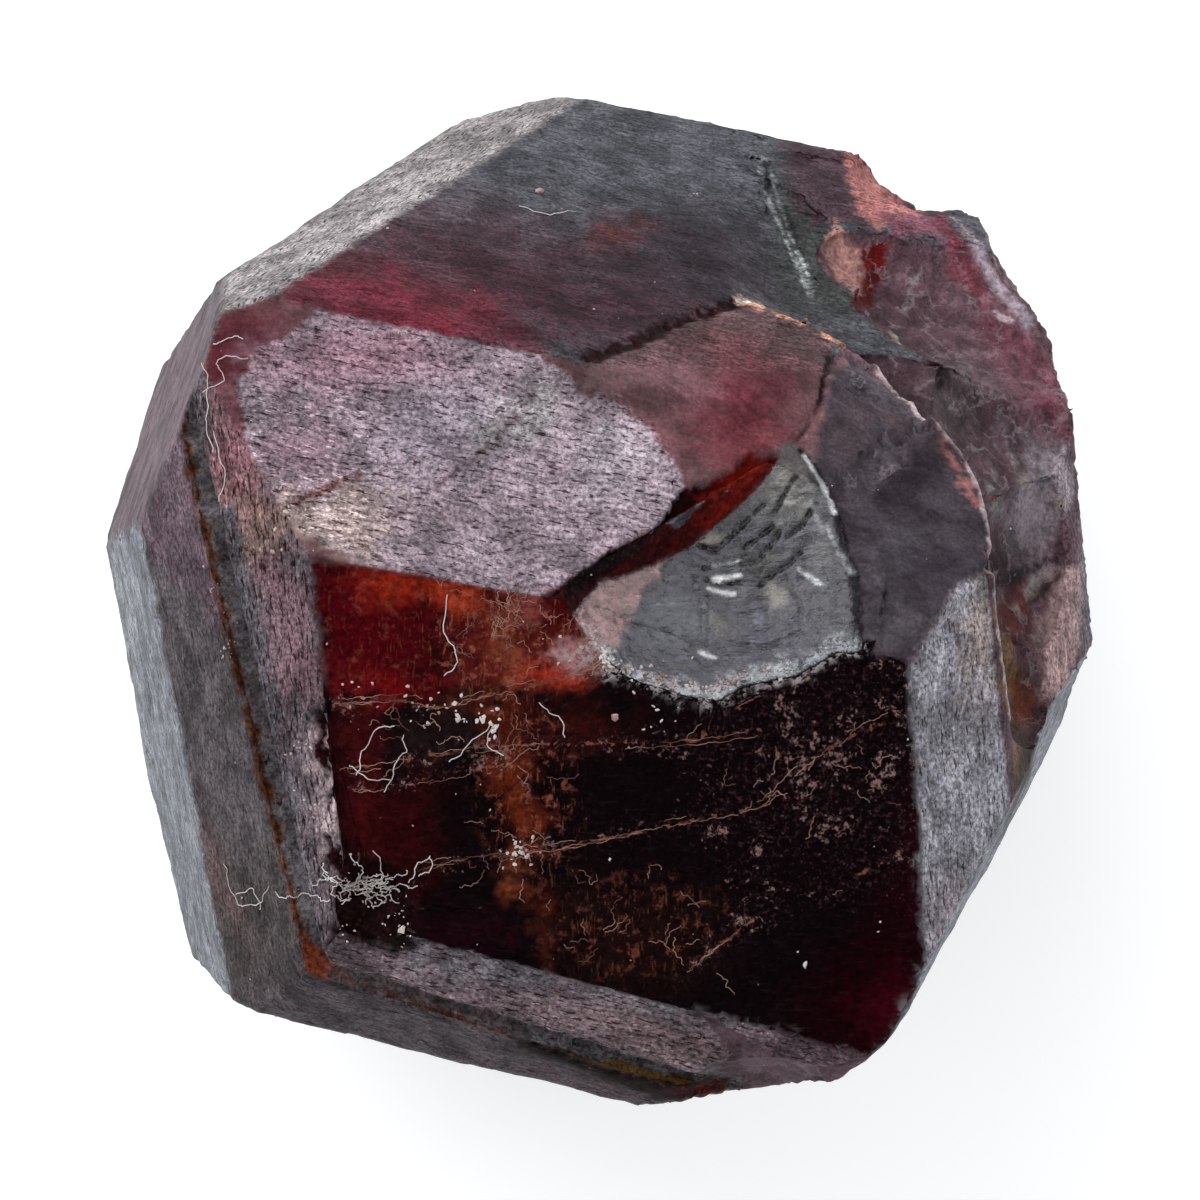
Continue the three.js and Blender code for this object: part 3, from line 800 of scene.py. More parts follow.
    (SCAR, ellipse(3.9, 2.9, 0.9, 0.9), (106, 104, 100), 0.8, 0.4, 0.3),
    (SCAR, ellipse(3.9, 3.2, 0.25, 0.5, 20), (134, 130, 124), 0.7, 0.15, 0.2),
    (SCAR, ellipse(2.0, 2.1, 0.8, 0.3, 35), (92, 92, 94), 0.7, 0.2, 0.2),
    (SCAR, ellipse(0.9, -0.3, 1.1, 0.7), (92, 95, 102), 0.8, 0.3, 0.3),
    (SCAR, ellipse(3.6, -0.8, 1.4, 0.6, 20), (58, 56, 72), 0.8, 0.3, 0.3),
    (SCAR, ellipse(3.4, 1.2, 0.7, 0.4), (50, 46, 42), 0.8, 0.3, 0.3),
    (SCAR, ellipse(4.7, 1.6, 0.3, 0.6), (96, 96, 98), 0.7, 0.2, 0.2),
    (SCAR, ellipse(2.1, 1.75, 0.24, 0.15, 20), (148, 138, 122), 0.8, 0.10, 0.08),
    (SCAR, ellipse(3.6, 0.3, 0.26, 0.34, 20), (152, 145, 136), 0.8, 0.18, 0.12),
    (SCAR, ellipse(3.15, -0.3, 0.14, 0.14), (104, 106, 124), 0.6, 0.12, 0.1),
    (SCAR, ellipse(2.2, -0.5, 0.15, 0.3, 20), (112, 106, 94), 0.6, 0.12, 0.08),
    (SCAR, [(-2.2, -0.9), (-1.1, 0.5), (-0.4, 1.1), (1.0, 1.7), (0.9, 1.2), (0.2, 0.5), (-0.1, -0.3),
            (-0.5, -1.1)],
     (166, 128, 127), 0.95, 0.1, 0.15),
    (SCAR, ellipse(-1.6, -1.0, 0.8, 0.5), (186, 164, 168), 0.8, 0.3, 0.5),
    (ANY, LEDGE_TIP, (48, 5, 10), 0.97, 0.06, 0.1),
    # the ember zone at the head of the window, and the rust and red below it: partly rust stain on inner
    # cracks, partly a painted glow and reflection of light from those cracks
    (WINDOW, EMBER, (62, 4, 10), 1.0, 0.12, 0.3),
    (WINDOW, ellipse(-6.7, -0.2, 1.2, 1.4), (76, 2, 12), 0.9, 0.6, 0.4),
    (WINDOW, ellipse(-6.4, -2.0, 1.1, 0.35), (110, 8, 14), 0.8, 0.3, 0.3),
    (WINDOW, ellipse(-5.3, 0.4, 1.3, 0.4, -6), (146, 38, 18), 0.95, 0.35, 0.4),
    (WINDOW, ellipse(-3.7, -0.8, 1.5, 1.3), (92, 30, 26), 0.85, 0.7, 0.8),
    (WINDOW, ellipse(-2.3, -1.7, 0.9, 0.35), (156, 46, 32), 0.95, 0.2, 0.2),
    (WINDOW, ellipse(-5.0, -1.2, 0.5, 0.4), (34, 3, 6), 0.85, 0.2, 0.3),
    (WINDOW, [(-6.2, -2.7), (-3.9, -2.35), (-3.9, -3.6), (-6.2, -3.9)], (28, 18, 18), 0.9, 0.3, 0.25),
    (WINDOW, ellipse(-6.9, -4.6, 0.5, 2.2, 10), (76, 14, 18), 0.9, 0.5, 0.3),
    (WINDOW, ellipse(-6.0, -5.6, 1.0, 1.4), (46, 5, 7), 0.85, 0.7, 0.3),
    (WINDOW, ellipse(-3.2, -4.6, 0.42, 2.7, 8), (92, 34, 16), 0.95, 0.3, 0.5),
    (WINDOW, ellipse(-3.1, -6.4, 0.3, 0.6), (140, 70, 44), 0.7, 0.3, 0.4),
    (WINDOW, ellipse(-1.9, -3.0, 1.3, 0.6), (50, 13, 11), 0.8, 0.5, 0.5),
    (WINDOW, ellipse(-1.4, -1.2, 0.7, 0.4), (170, 120, 120), 0.8, 0.2, 0.3),
    (WINDOW, ellipse(-4.6, 0.2, 0.5, 0.3, -20), (176, 62, 30), 0.8, 0.2, 0.3),
    (WINDOW, ellipse(-2.9, -0.1, 0.5, 0.3, 30), (132, 66, 60), 0.7, 0.2, 0.3),
    (WINDOW, ellipse(-3.4, -1.0, 0.3, 0.7, 20), (128, 64, 44), 0.7, 0.2, 0.3),
    (WINDOW, ellipse(-4.4, -8.2, 1.1, 0.7), (30, 5, 14), 0.8, 0.6, 0.3),
    (WINDOW, ellipse(-0.4, -8.3, 1.9, 1.2), (28, 12, 9), 0.75, 0.9, 0.5),
    (WINDOW, [(6.2, -7.2), (7.4, -8.9), (7.0, -10.4), (4.8, -11.6), (3.6, -10.6)], (26, 0, 4), 0.95, 1.0,
     0.3),
    (WINDOW, ellipse(6.3, -10.2, 0.7, 0.7), (64, 2, 18), 0.8, 0.7, 0.4),
    (WINDOW, ellipse(7.0, -7.0, 0.4, 1.8), (34, 1, 9), 0.8, 0.5, 0.2),
]

# Coloured lines: faces, line, display colour, half-width in mm, strength, raggedness in mm
COLOUR_LINES = [
    (("slate", "shoulder", "bright"), BLOCK_STEP, (36, 8, 14), 0.13, 0.95, 0.12),
    # painted shadow: the two dark lines along the slate crack are the shadow of the step there
    (("shoulder", "bright", "slate"), [(5.5, 6.5), (5.15, 5.9), (5.0, 5.3)], (18, 6, 10), 0.08, 0.95, 0.08),
    (("shoulder", "bright", "slate"), [(5.0, 5.3), (4.8, 4.9), (4.3, 4.3)], (60, 28, 32), 0.03, 0.8, 0.04),
    (("shoulder", "bright", "slate"), [(5.15, 5.2), (4.95, 4.85), (4.5, 4.3)], (140, 104, 100), 0.03, 0.5,
     0.04),
    (("slate", "shoulder"), [(3.4, 8.15), (4.2, 7.9), (5.2, 7.4), (6.2, 6.9)], (196, 140, 116), 0.16, 0.9,
     0.10),
    (("slate", "shoulder"), [(3.3, 8.2), (3.9, 8.1)], (224, 206, 190), 0.10, 0.9, 0.05),
    # painted highlight: the pale line along the lip's edge
    (("slate", "shoulder", "bright", "broken", "right"), LIP[3:], (196, 176, 178), 0.06, 0.9, 0.06),
    *((BACK, line, (176, 180, 180), 0.012, 0.85, 0.05) for line in BACK_SCRATCHES),
    (("slate",), [(5.0, 12.4), (4.85, 11.7)], (12, 8, 12), 0.06, 0.9, 0.08),
    (("slate",), [(5.2, 11.2), (5.35, 10.6), (5.5, 10.0)], (30, 28, 30), 0.05, 0.8, 0.05),
    (("bright",), [(-2.6, 5.4), (-3.6, 4.2), (-4.9, 3.2), (-6.2, 2.3)], (86, 58, 62), 0.035, 0.8, 0.02),
    (("bright",), [(-9.3, 2.2), (-8.6, 2.7), (-7.6, 3.1), (-6.9, 3.4)], (90, 14, 18), 0.06, 0.85, 0.04),
    (WINDOW, [(-7.5, -2.2), (-6.6, -2.2)], (10, 4, 6), 0.12, 0.9, 0.06),
    (WINDOW, [(-5.2, -2.3), (-4.2, -2.05), (-3.4, -2.0)], (22, 20, 12), 0.09, 0.8, 0.05),
    (("seam", "left_band"), SEAM_RUST, (88, 50, 28), 0.09, 0.95, 0.10),
    (("seam", "left_band"), SEAM_RUST, (30, 14, 10), 0.025, 0.8, 0.07),
    (("seam", "front_band"), [(-7.7, -9.2), (-5.0, -10.2), (-3.1, -10.9)], (84, 46, 38), 0.03, 0.8, 0.08),
    (BLOCK, [(8.2, 4.2), (8.6, 3.4), (8.9, 2.7)], (164, 108, 102), 0.07, 0.8, 0.10),
    *((CORNER, line, colour, width, 0.8, 0.07) for line, colour, width in CORNER_STROKES),
    (("scar",), SCAR_FRONT, (170, 178, 184), 0.09, 0.7, 0.16),
    # painted shade: the scar's carved stroke grooves painted near black
    *((SCAR, line, (10, 8, 11), 0.045, 0.97, 0.035) for line in SCAR_STROKES),
    *((SCAR, line, (34, 32, 38), 0.015, 0.8, 0.02) for line in SCAR_HAIRLINES),
    (("scar", "shoulder"), SCAR_RIGHT, (14, 12, 16), 0.05, 0.9, 0.04),
    # painted highlights: the white lines from here to the list's end are painted glints on the scar's edges and
    # ridges
    (("scar", "shoulder"), [(4.4, 3.85), (4.8, 3.15), (5.05, 2.4)], (220, 222, 222), 0.03, 0.95, 0.03),
    (("scar", "shoulder"), [(4.85, 2.1), (5.1, 1.55), (5.4, 0.85)], (190, 192, 196), 0.02, 0.9, 0.03),
    (SCAR, [(4.2, 0.95), (4.7, 0.6)], (214, 216, 220), 0.03, 0.9, 0.02),
    (SCAR, [(4.5, 2.7), (4.8, 1.9)], (160, 162, 166), 0.02, 0.8, 0.03),
    (SCAR, [(2.05, 1.05), (2.7, 1.2)], (200, 204, 206), 0.02, 0.95, 0.02),
    (SCAR, [(2.05, 0.72), (2.35, 0.75), (2.7, 0.8)], (250, 250, 250), 0.05, 1.0, 0.02),
    (SCAR, [(1.9, 0.47), (2.2, 0.38), (2.55, 0.36)], (250, 250, 250), 0.04, 1.0, 0.02),
    (SCAR, [(1.6, -1.1), (2.0, -1.25)], (226, 228, 232), 0.03, 0.9, 0.02),
]

# How strongly each face shows dark etch dashes, pale chalky ones, polish and grains of rust
FINISH = {
    "window": (0.0, 0.0, 1.0, 0.0), "left_bevel": (1.0, 0.85, 0.3, 0.08),
    "front_bevel": (0.95, 0.8, 0.3, 0.08), "right_bevel": (0.8, 0.7, 0.3, 0.03),
    "bright": (0.12, 0.1, 0.75, 0.0), "left_band": (0.75, 0.6, 0.35, 0.1),
    "front_band": (0.8, 0.6, 0.35, 0.1), "slate": (0.7, 0.6, 0.5, 0.0), "right": (0.6, 0.6, 0.5, 0.1),
    "back_band": (1.0, 0.5, 0.2, 0.1), "left_rim": (1.0, 0.8, 0.3, 0.0),
    "right_strip": (0.9, 0.7, 0.3, 0.0), "rest": (0.7, 0.4, 0.2, 0.2), "side": (0.8, 0.6, 0.3, 0.1),
    "under": (0.7, 0.5, 0.2, 0.2), "shoulder": (0.08, 0.1, 0.7, 0.0), "seam": (0.5, 0.5, 0.2, 0.35),
    "scar": (0.0, 0.0, 1.0, 0.0), "wall": (0.0, 0.1, 0.8, 0.3), "broken": (0.3, 0.3, 0.7, 0.05),
    "pit": (0.1, 0.0, 0.3, 0.1), "wedge": (0.1, 0.1, 0.7, 0.3),
}


def signed_distance(plan, shape):
    """Distance inside a shape, which is an outline or an ellipse; negative outside."""
    if isinstance(shape, dict):
        offset = plan - np.array(shape["centre"])
        turn = shape["turn"]
        across = (offset[:, 0] * math.cos(turn) + offset[:, 1] * math.sin(turn)) / shape["half"][0]
        along = (offset[:, 1] * math.cos(turn) - offset[:, 0] * math.sin(turn)) / shape["half"][1]
        return (1 - np.hypot(across, along)) * min(shape["half"])
    return inside_outline(plan, shape)


# Heights in millimetres that painted patches fade in above
SOLE = 5
UPPER_HALF = 14


def upper_share(skin, names, low=SOLE):
    """How much of each point belongs to the named patches, above a height."""
    return sum(skin.share[name] for name in names) * smooth(skin.place[:, 2], low, low + 1.0)


def mix(base, colour, mask):
    return base + (srgb(*colour) - base) * mask[:, None]


def paint(skin):
    """Colour and finish at each point: etch, chalk, polish, rust, frost, flecks and webs of rust, with painted
    shade, glow, highlights and reflections in the colour.
    """
    plan = skin.plan
    tone = sum(skin.share[name][:, None] * srgb(*colour) for name, colour in FACE_TONES.items())
    wander = fractal(skin.place, 0.8, 4, 21.0)
    rough = fractal(skin.place, 3.2, 3, 33.0)
    for names, shape, colour, strength, softness, ragged in COLOUR_PATCHES:
        reach = signed_distance(plan, shape) + ragged * (1.1 * wander + 0.7 * rough)
        low = UPPER_HALF if names in (ANY, FRONT) else SOLE
        mask = smooth(reach, -softness, softness) * strength * upper_share(skin, names, low)
        tone = mix(tone, colour, mask)
    for names, line, colour, width, strength, ragged in COLOUR_LINES:
        reach = distance_to_line(plan, line) + ragged * 1.6 * rough
        mask = smooth(reach, width + 0.06, width - 0.03) * strength * upper_share(skin, names)
        tone = mix(tone, colour, mask)

    bitten = smooth(inside_outline(plan, LEDGE_BITE) + 0.08 * rough, -0.04, 0.04)
    bitten *= upper_share(skin, ANY, UPPER_HALF)
    tone = mix(tone, (22, 2, 4), bitten)
    tone = mix(tone, (120, 24, 12), bitten * smooth(plan[:, 0] + 0.4 * rough, 1.5, 2.2))

    # the ledge's wall runs from dark red through orange rust, with a painted shadow, black, under its top edge
    wall = skin.share["wall"] * smooth(skin.place[:, 2], SIDES_UP_TO, SIDES_UP_TO + 1)
    run = plan[:, 0] + 0.9 * rough
    tone = mix(tone, (116, 20, 10), wall * smooth(run, 1.0, 2.2) * smooth(run, 4.6, 3.6) * 0.9)
    below = distance_to_line(plan, SCAR_LEDGE)
    shadow = smooth(below + 0.16 * rough, 0.42, 0.2) * smooth(plan[:, 0], 2.2, 0.9)
    tone = mix(tone, (10, 2, 5), wall * shadow)

    # painted shade and light: hollows in the rough places are painted darker and their ridges lighter, by how
    # far each point was sunk
    for name, share in (("broken", 1.6), ("scar", 2.6), ("pit", 1.5), ("wall", 1.5)):
        own = skin.share[name]
        usual = (skin.relief * own).sum() / max(own.sum(), 1)
        tone = tone * np.clip(1 + share * (skin.relief - usual) * own, 0.25, 1.6)[:, None]

    etch, chalk, gloss, rust = (
        sum(skin.share[name] * values[i] for name, values in FINISH.items()) for i in range(4)
    )
    oval = smooth(inside_outline(plan, FROST_OVAL) + 0.16 * rough, -0.1, 0.1) * upper_share(skin, TOP)
    cream = smooth(signed_distance(plan, ellipse(-8.3, 3.6, 2.0, 2.2)), -0.6, 0.6) * oval
    chalk = chalk * smooth(tone.max(axis=1), 0.01, 0.08)
    etch = etch + (0.85 - etch) * oval
    chalk = chalk + (0.55 + 0.45 * cream - chalk) * oval
    gloss = gloss * (1 - 0.75 * oval)
    # painted highlight: more pale marks along the lip's edge
    lip = groove(plan, LIP, 0.2) * upper_share(skin, ("slate", "shoulder", "bright"))
    chalk = np.clip(chalk + 0.4 * lip, 0, 1)

    window = skin.share["window"]
    fleck = 0.25 + 0.75 * smooth(plan[:, 0], 0.0, 3.0)
    fleck *= 0.35 + 0.65 * smooth(plan[:, 1], -9.5, -5.0)
    for line in WINDOW_CRACKS:
        fleck += 0.7 * groove(plan, line, 0.35)
    fleck *= 1 - 0.8 * smooth(signed_distance(plan, ellipse(5.4, -9.8, 1.8, 1.8)), -0.5, 0.6)
    web = np.zeros(len(plan))
    for shape, strength, out, full in RUST_WEBS:
        web = np.maximum(web, strength * smooth(signed_distance(plan, shape), out, full))
    crumb = smooth(distance_to_line(plan, SCAR_FRONT) + 0.3 * rough, 0.42, 0.05)
    heap = signed_distance(plan, ellipse(-1.4, -1.15, 0.6, 0.35))
    crumb = np.maximum(crumb, smooth(heap + 0.3 * rough, -0.1, 0.3))
    crack = np.zeros(len(plan))
    for line in WINDOW_CRACKS:
        crack = np.maximum(crack, groove(plan, line, 0.11))
    return {
        "tone": tone * PAINT_LEVEL, "etch": etch, "chalk": chalk, "gloss": np.clip(gloss, 0, 1), "rust": rust,
        "fleck": np.clip(fleck, 0, 1) * window, "web": web * window, "crack": crack * window,
        "crumb": crumb * (skin.share["scar"] + window * (plan[:, 1] > -2.6)),
    }


GRAIN_ALONG = {"back_band": "slate", "left_rim": "left_band", "right_strip": "right"}


def grain_frames():
    """For each patch, the direction that its etch dashes run in and the one across them."""
    directions = face_directions()
    up = Vector((0, 0, 1))
    frames = []
    for name in PATCHES:
        normal = directions.get(name, Vector((0, -1, 0)))
        beside = directions[GRAIN_ALONG[name]] if name in GRAIN_ALONG else up
        along = beside.cross(normal)
        if along.length < 0.1:
            along = Vector((1, 0.25, 0))
        along.normalize()
        frames.append((along, normal.cross(along)))
    return np.array(frames)


def lay_grain(mesh):
    """A map in millimetres over each face, along and across its dashes."""
    corners = np.empty(len(mesh.loops), int)
    mesh.loops.foreach_get("vertex_index", corners)
    place = np.empty(len(mesh.vertices) * 3)
    mesh.vertices.foreach_get("co", place)
    place = place.reshape(-1, 3)[corners] / MM
    patches = np.empty(len(mesh.polygons), int)
    mesh.attributes["patch"].data.foreach_get("value", patches)
    frames = grain_frames()[np.repeat(patches, 3)]
    flat = np.einsum("ij,ikj->ik", place, frames)
    layer = mesh.uv_layers.new(name="grain")
    layer.data.foreach_set("uv", flat.ravel())


def store(mesh, name, values):
    """Keeps a value per point on the mesh."""
    if values.ndim == 2:
        attribute = mesh.attributes.new(name, "FLOAT_COLOR", "POINT")
        full = np.ones((len(values), 4), np.float32)
        full[:, :3] = values
        attribute.data.foreach_set("color", full.ravel())
    else:
        attribute = mesh.attributes.new(name, "FLOAT", "POINT")
        attribute.data.foreach_set("value", values.astype(np.float32))


def finished_piece(name, mesh):
    piece = bpy.data.objects.new(name, mesh)
    bpy.context.scene.collection.objects.link(piece)
    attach(piece, "root")
    return piece


# ---------------------------------------------------------------------------------------------------
# Materials
# ---------------------------------------------------------------------------------------------------

class Nodes:
    """A short hand for building a node tree."""

    def __init__(self, tree):
        self.tree = tree

    def put(self, value, socket):
        if isinstance(value, bpy.types.NodeSocket):
            self.tree.links.new(value, socket)
        elif value is not None:
            socket.default_value = value

    def add(self, kind, inputs=(), output=0, **settings):
        node = self.tree.nodes.new(kind)
        for name, value in settings.items():
            setattr(node, name, value)
        pairs = inputs.items() if isinstance(inputs, dict) else enumerate(inputs)
        for name, value in pairs:
            self.put(value, node.inputs[name])
        return node.outputs[output]

    def math(self, operation, *values):
        return self.add("ShaderNodeMath", values, operation=operation)

    def clamped(self, *values, operation="MULTIPLY"):
        return self.add("ShaderNodeMath", values, operation=operation, use_clamp=True)

    def ramp(self, value, low, high, to_low=0.0, to_high=1.0):
        """A smooth step of value from low to high."""
        return self.add(
            "ShaderNodeMapRange", (value, low, high, to_low, to_high), interpolation_type="SMOOTHSTEP"
        )

    def noise(self, vector, scale, detail=2.0, roughness=0.5):
        return self.add(
            "ShaderNodeTexNoise",
            {"Vector": vector, "Scale": scale, "Detail": detail, "Roughness": roughness},
            noise_dimensions="3D",
        )

    def stretched(self, vector, scale, place=(0, 0, 0), turn=(0, 0, 0)):
        inputs = {"Vector": vector, "Location": place, "Rotation": turn, "Scale": scale}
        return self.add("ShaderNodeMapping", inputs)

    def mixed(self, share, first, second, blend="MIX"):
        node = self.tree.nodes.new("ShaderNodeMix")
        node.data_type = "RGBA"
        node.blend_type = blend
        self.put(share, node.inputs["Factor"])
        self.put(first, node.inputs[6])
        self.put(second, node.inputs[7])
        return node.outputs[2]

    def shaded(self, tone, grey):
        """A colour multiplied by a grey."""
        return self.mixed(1.0, tone, self.add("ShaderNodeCombineColor", (grey, grey, grey)), "MULTIPLY")

    def shifted(self, vector, shift):
        offset = self.add("ShaderNodeCombineXYZ", shift)
        return self.add("ShaderNodeVectorMath", (vector, offset), operation="ADD")

    def cells(self, vector, scale, feature="F1"):
        """Distance to the cell centres or the cell edges of a scatter."""
        inputs = {"Vector": vector, "Scale": scale, "Randomness": 1.0}
        return self.add("ShaderNodeTexVoronoi", inputs, output="Distance", feature=feature)

    def attribute(self, name, output="Fac"):
        return self.add("ShaderNodeAttribute", output=output, attribute_name=name)

    def place_mm(self):
        """The piece's own coordinates in millimetres."""
        node = self.tree.nodes.new("ShaderNodeTexCoord")
        return self.stretched(node.outputs["Object"], (1 / MM, 1 / MM, 1 / MM))


def colour(red, green, blue):
    return (*(srgb(red, green, blue) * PAINT_LEVEL), 1)


def new_group(name, inputs, outputs):
    tree = bpy.data.node_groups.new(name, "ShaderNodeTree")
    for title, kind in inputs:
        tree.interface.new_socket(title, in_out="INPUT", socket_type=kind)
    for title, kind in outputs:
        tree.interface.new_socket(title, in_out="OUTPUT", socket_type=kind)
    return tree, tree.nodes.new("NodeGroupInput").outputs, tree.nodes.new("NodeGroupOutput").inputs


def grain_group():
    """Etch dashes along a face: masks of dark ones and pale ones, a fine mottle and a height."""
    tree, given, result = new_group(
        "etched grain",
        (("Grain", "NodeSocketVector"), ("Place", "NodeSocketVector"), ("Etch", "NodeSocketFloat"),
         ("Chalk", "NodeSocketFloat")),
        (("Dark", "NodeSocketFloat"), ("Pale", "NodeSocketFloat"), ("Mottle", "NodeSocketFloat"),
         ("Cloud", "NodeSocketFloat"), ("Streaks", "NodeSocketFloat"), ("Height", "NodeSocketFloat")),
    )
    n = Nodes(tree)
    dashes = n.noise(n.stretched(given["Grain"], (2.6, 11.0, 1.0)), 1.0, 3.0, 0.62)
    chalky = n.noise(n.stretched(given["Grain"], (3.4, 13.0, 1.0), (7.3, 2.9, 0.4)), 1.0, 3.0, 0.68)
    mottle = n.noise(given["Place"], 9.0, 4.0, 0.7)
    cloud = n.noise(given["Place"], 0.9, 4.0, 0.6)
    dark_cut = n.math("SUBTRACT", 0.72, n.math("MULTIPLY", given["Etch"], 0.17))
    dark = n.ramp(n.math("SUBTRACT", dashes, dark_cut), 0.0, 0.05)
    pale_cut = n.math("SUBTRACT", 0.74, n.math("MULTIPLY", given["Chalk"], 0.20))
    pale = n.ramp(n.math("SUBTRACT", chalky, pale_cut), 0.0, 0.07)
    n.put(n.clamped(dark, 1.0), result["Dark"])
    n.put(n.clamped(pale, n.math("SUBTRACT", 1.0, dark)), result["Pale"])
    n.put(mottle, result["Mottle"])
    n.put(cloud, result["Cloud"])
    sway = n.math("MULTIPLY", n.noise(given["Place"], 0.25, 2.0, 0.5), 2.5)
    swayed = n.shifted(given["Grain"], (0.0, sway, 0.0))
    streaks = n.noise(n.stretched(swayed, (0.7, 8.0, 1.0), (1.9, 6.1, 2.2)), 1.0, 5.0, 0.75)
    n.put(streaks, result["Streaks"])
    raised = n.math("ADD", n.math("MULTIPLY", dark, -0.7), n.math("MULTIPLY", pale, 0.4))
    n.put(n.math("ADD", raised, n.math("MULTIPLY", mottle, 0.7)), result["Height"])
    return tree


def speck_group():
    """Scattered specks and rust grains, as two masks."""
    tree, given, result = new_group(
        "specks and rust",
        (("Place", "NodeSocketVector"), ("Specks", "NodeSocketFloat"), ("Rust", "NodeSocketFloat")),
        (("Specks", "NodeSocketFloat"), ("Rust", "NodeSocketFloat")),
    )
    n = Nodes(tree)
    gather = n.ramp(n.noise(given["Place"], 1.3, 3.0, 0.6), 0.42, 0.66)
    fine = n.noise(given["Place"], 6.0, 5.0, 0.8)
    reach = n.math("MULTIPLY", given["Specks"], n.math("ADD", n.math("MULTIPLY", gather, 0.14), 0.06))
    n.put(n.ramp(n.math("ADD", fine, reach), 0.70, 0.78), result["Specks"])
    near = n.ramp(n.cells(given["Place"], 7.0), 0.42, 0.16)
    scatter = n.ramp(n.noise(given["Place"], 2.6, 3.0, 0.6), 0.38, 0.6)
    n.put(n.clamped(n.math("MULTIPLY", near, scatter), given["Rust"]), result["Rust"])
    return tree


def shared_group(name, maker):
    return bpy.data.node_groups.get(name) or maker()


def start_material(name):
    material = bpy.data.materials.new(name)
    material.use_nodes = True
    n = Nodes(material.node_tree)
    shader = material.node_tree.nodes["Principled BSDF"]
    return material, n, shader


def placed_group(n, group, inputs):
    node = n.tree.nodes.new("ShaderNodeGroup")
    node.node_tree = group
    for name, value in inputs.items():
        n.put(value, node.inputs[name])
    return node.outputs


def grain_outputs(n, etch, chalk):
    grain = n.add("ShaderNodeUVMap", uv_map="grain")
    return placed_group(n, shared_group("etched grain", grain_group), {
        "Grain": grain, "Place": n.place_mm(), "Etch": etch, "Chalk": chalk,
    })


def bumped(n, height, strength, distance):
    return n.add("ShaderNodeBump", {"Height": height, "Strength": strength, "Distance": distance})


def etched_material(settings):
    """The crystal's own faces: etched, slightly frosted, opaque in the mass."""
    material, n, shader = start_material("etched garnet")
    grain = grain_outputs(n, n.attribute("etch"), n.attribute("chalk"))
    specks = placed_group(n, shared_group("specks and rust", speck_group), {
        "Place": n.place_mm(), "Specks": 0.25, "Rust": n.attribute("rust"),
    })
    tone = n.attribute("tone", "Color")
    mottle = n.ramp(grain["Mottle"], 0.34, 0.66, 0.48, 1.56)
    cloud = n.ramp(grain["Cloud"], 0.36, 0.64, 0.66, 1.36)
    streaks = n.ramp(grain["Streaks"], 0.36, 0.66, 0.72, 1.36)
    shade = n.math("MULTIPLY", mottle, streaks)
    calm = n.ramp(n.attribute("gloss"), 0.5, 0.75, 0.0, 0.6)
    shade = n.math("ADD", n.math("MULTIPLY", shade, n.math("SUBTRACT", 1.0, calm)), calm)
    shade = n.math("MULTIPLY", shade, cloud)
    tone = n.shaded(tone, shade)
    warm = n.mixed(1.0, tone, colour(118, 74, 78), "MULTIPLY")
    tone = n.mixed(n.math("MULTIPLY", grain["Dark"], 0.85), tone, warm)
    bright = n.mixed(1.0, n.mixed(1.0, tone, (2.1, 2.1, 2.1, 1), "MULTIPLY"), colour(46, 44, 44), "ADD")
    pale = n.mixed(n.attribute("chalk"), tone, bright)
    tone = n.mixed(n.math("MULTIPLY", grain["Pale"], 0.9), tone, pale)
    tone = n.mixed(n.math("MULTIPLY", specks["Specks"], 0.7), tone, colour(190, 178, 172))
    tone = n.mixed(specks["Rust"], tone, colour(128, 72, 32))
    n.put(tone, shader.inputs["Base Color"])
    polish = n.math("MULTIPLY", n.attribute("gloss"), 0.38)
    rough = n.math("SUBTRACT", n.ramp(grain["Mottle"], 0.2, 0.8, 0.5, 0.66), polish)
    n.put(rough, shader.inputs["Roughness"])
    n.put(settings.skin_specular, shader.inputs["Specular IOR Level"])
    n.put(bumped(n, grain["Height"], 0.55, 0.05 * MM), shader.inputs["Normal"])
    return material


def glass_shader(n, shader, settings):
    """Clear garnet, dark red in the mass."""
    shader.inputs["IOR"].default_value = settings.index
    shader.inputs["Transmission Weight"].default_value = settings.clearness
    volume = n.tree.nodes.new("ShaderNodeVolumeAbsorption")
    volume.inputs["Color"].default_value = (*settings.body_colour, 1)
    volume.inputs["Density"].default_value = settings.body_density
    n.tree.links.new(volume.outputs["Volume"], n.tree.nodes["Material Output"].inputs["Volume"])


def brightened(n, tone, settings):
    """The surface colour made up for the share of light that goes into the glass."""
    lift = 1 / (1 - settings.clearness)
    return n.mixed(1.0, tone, (lift, lift, lift, 1), "MULTIPLY")


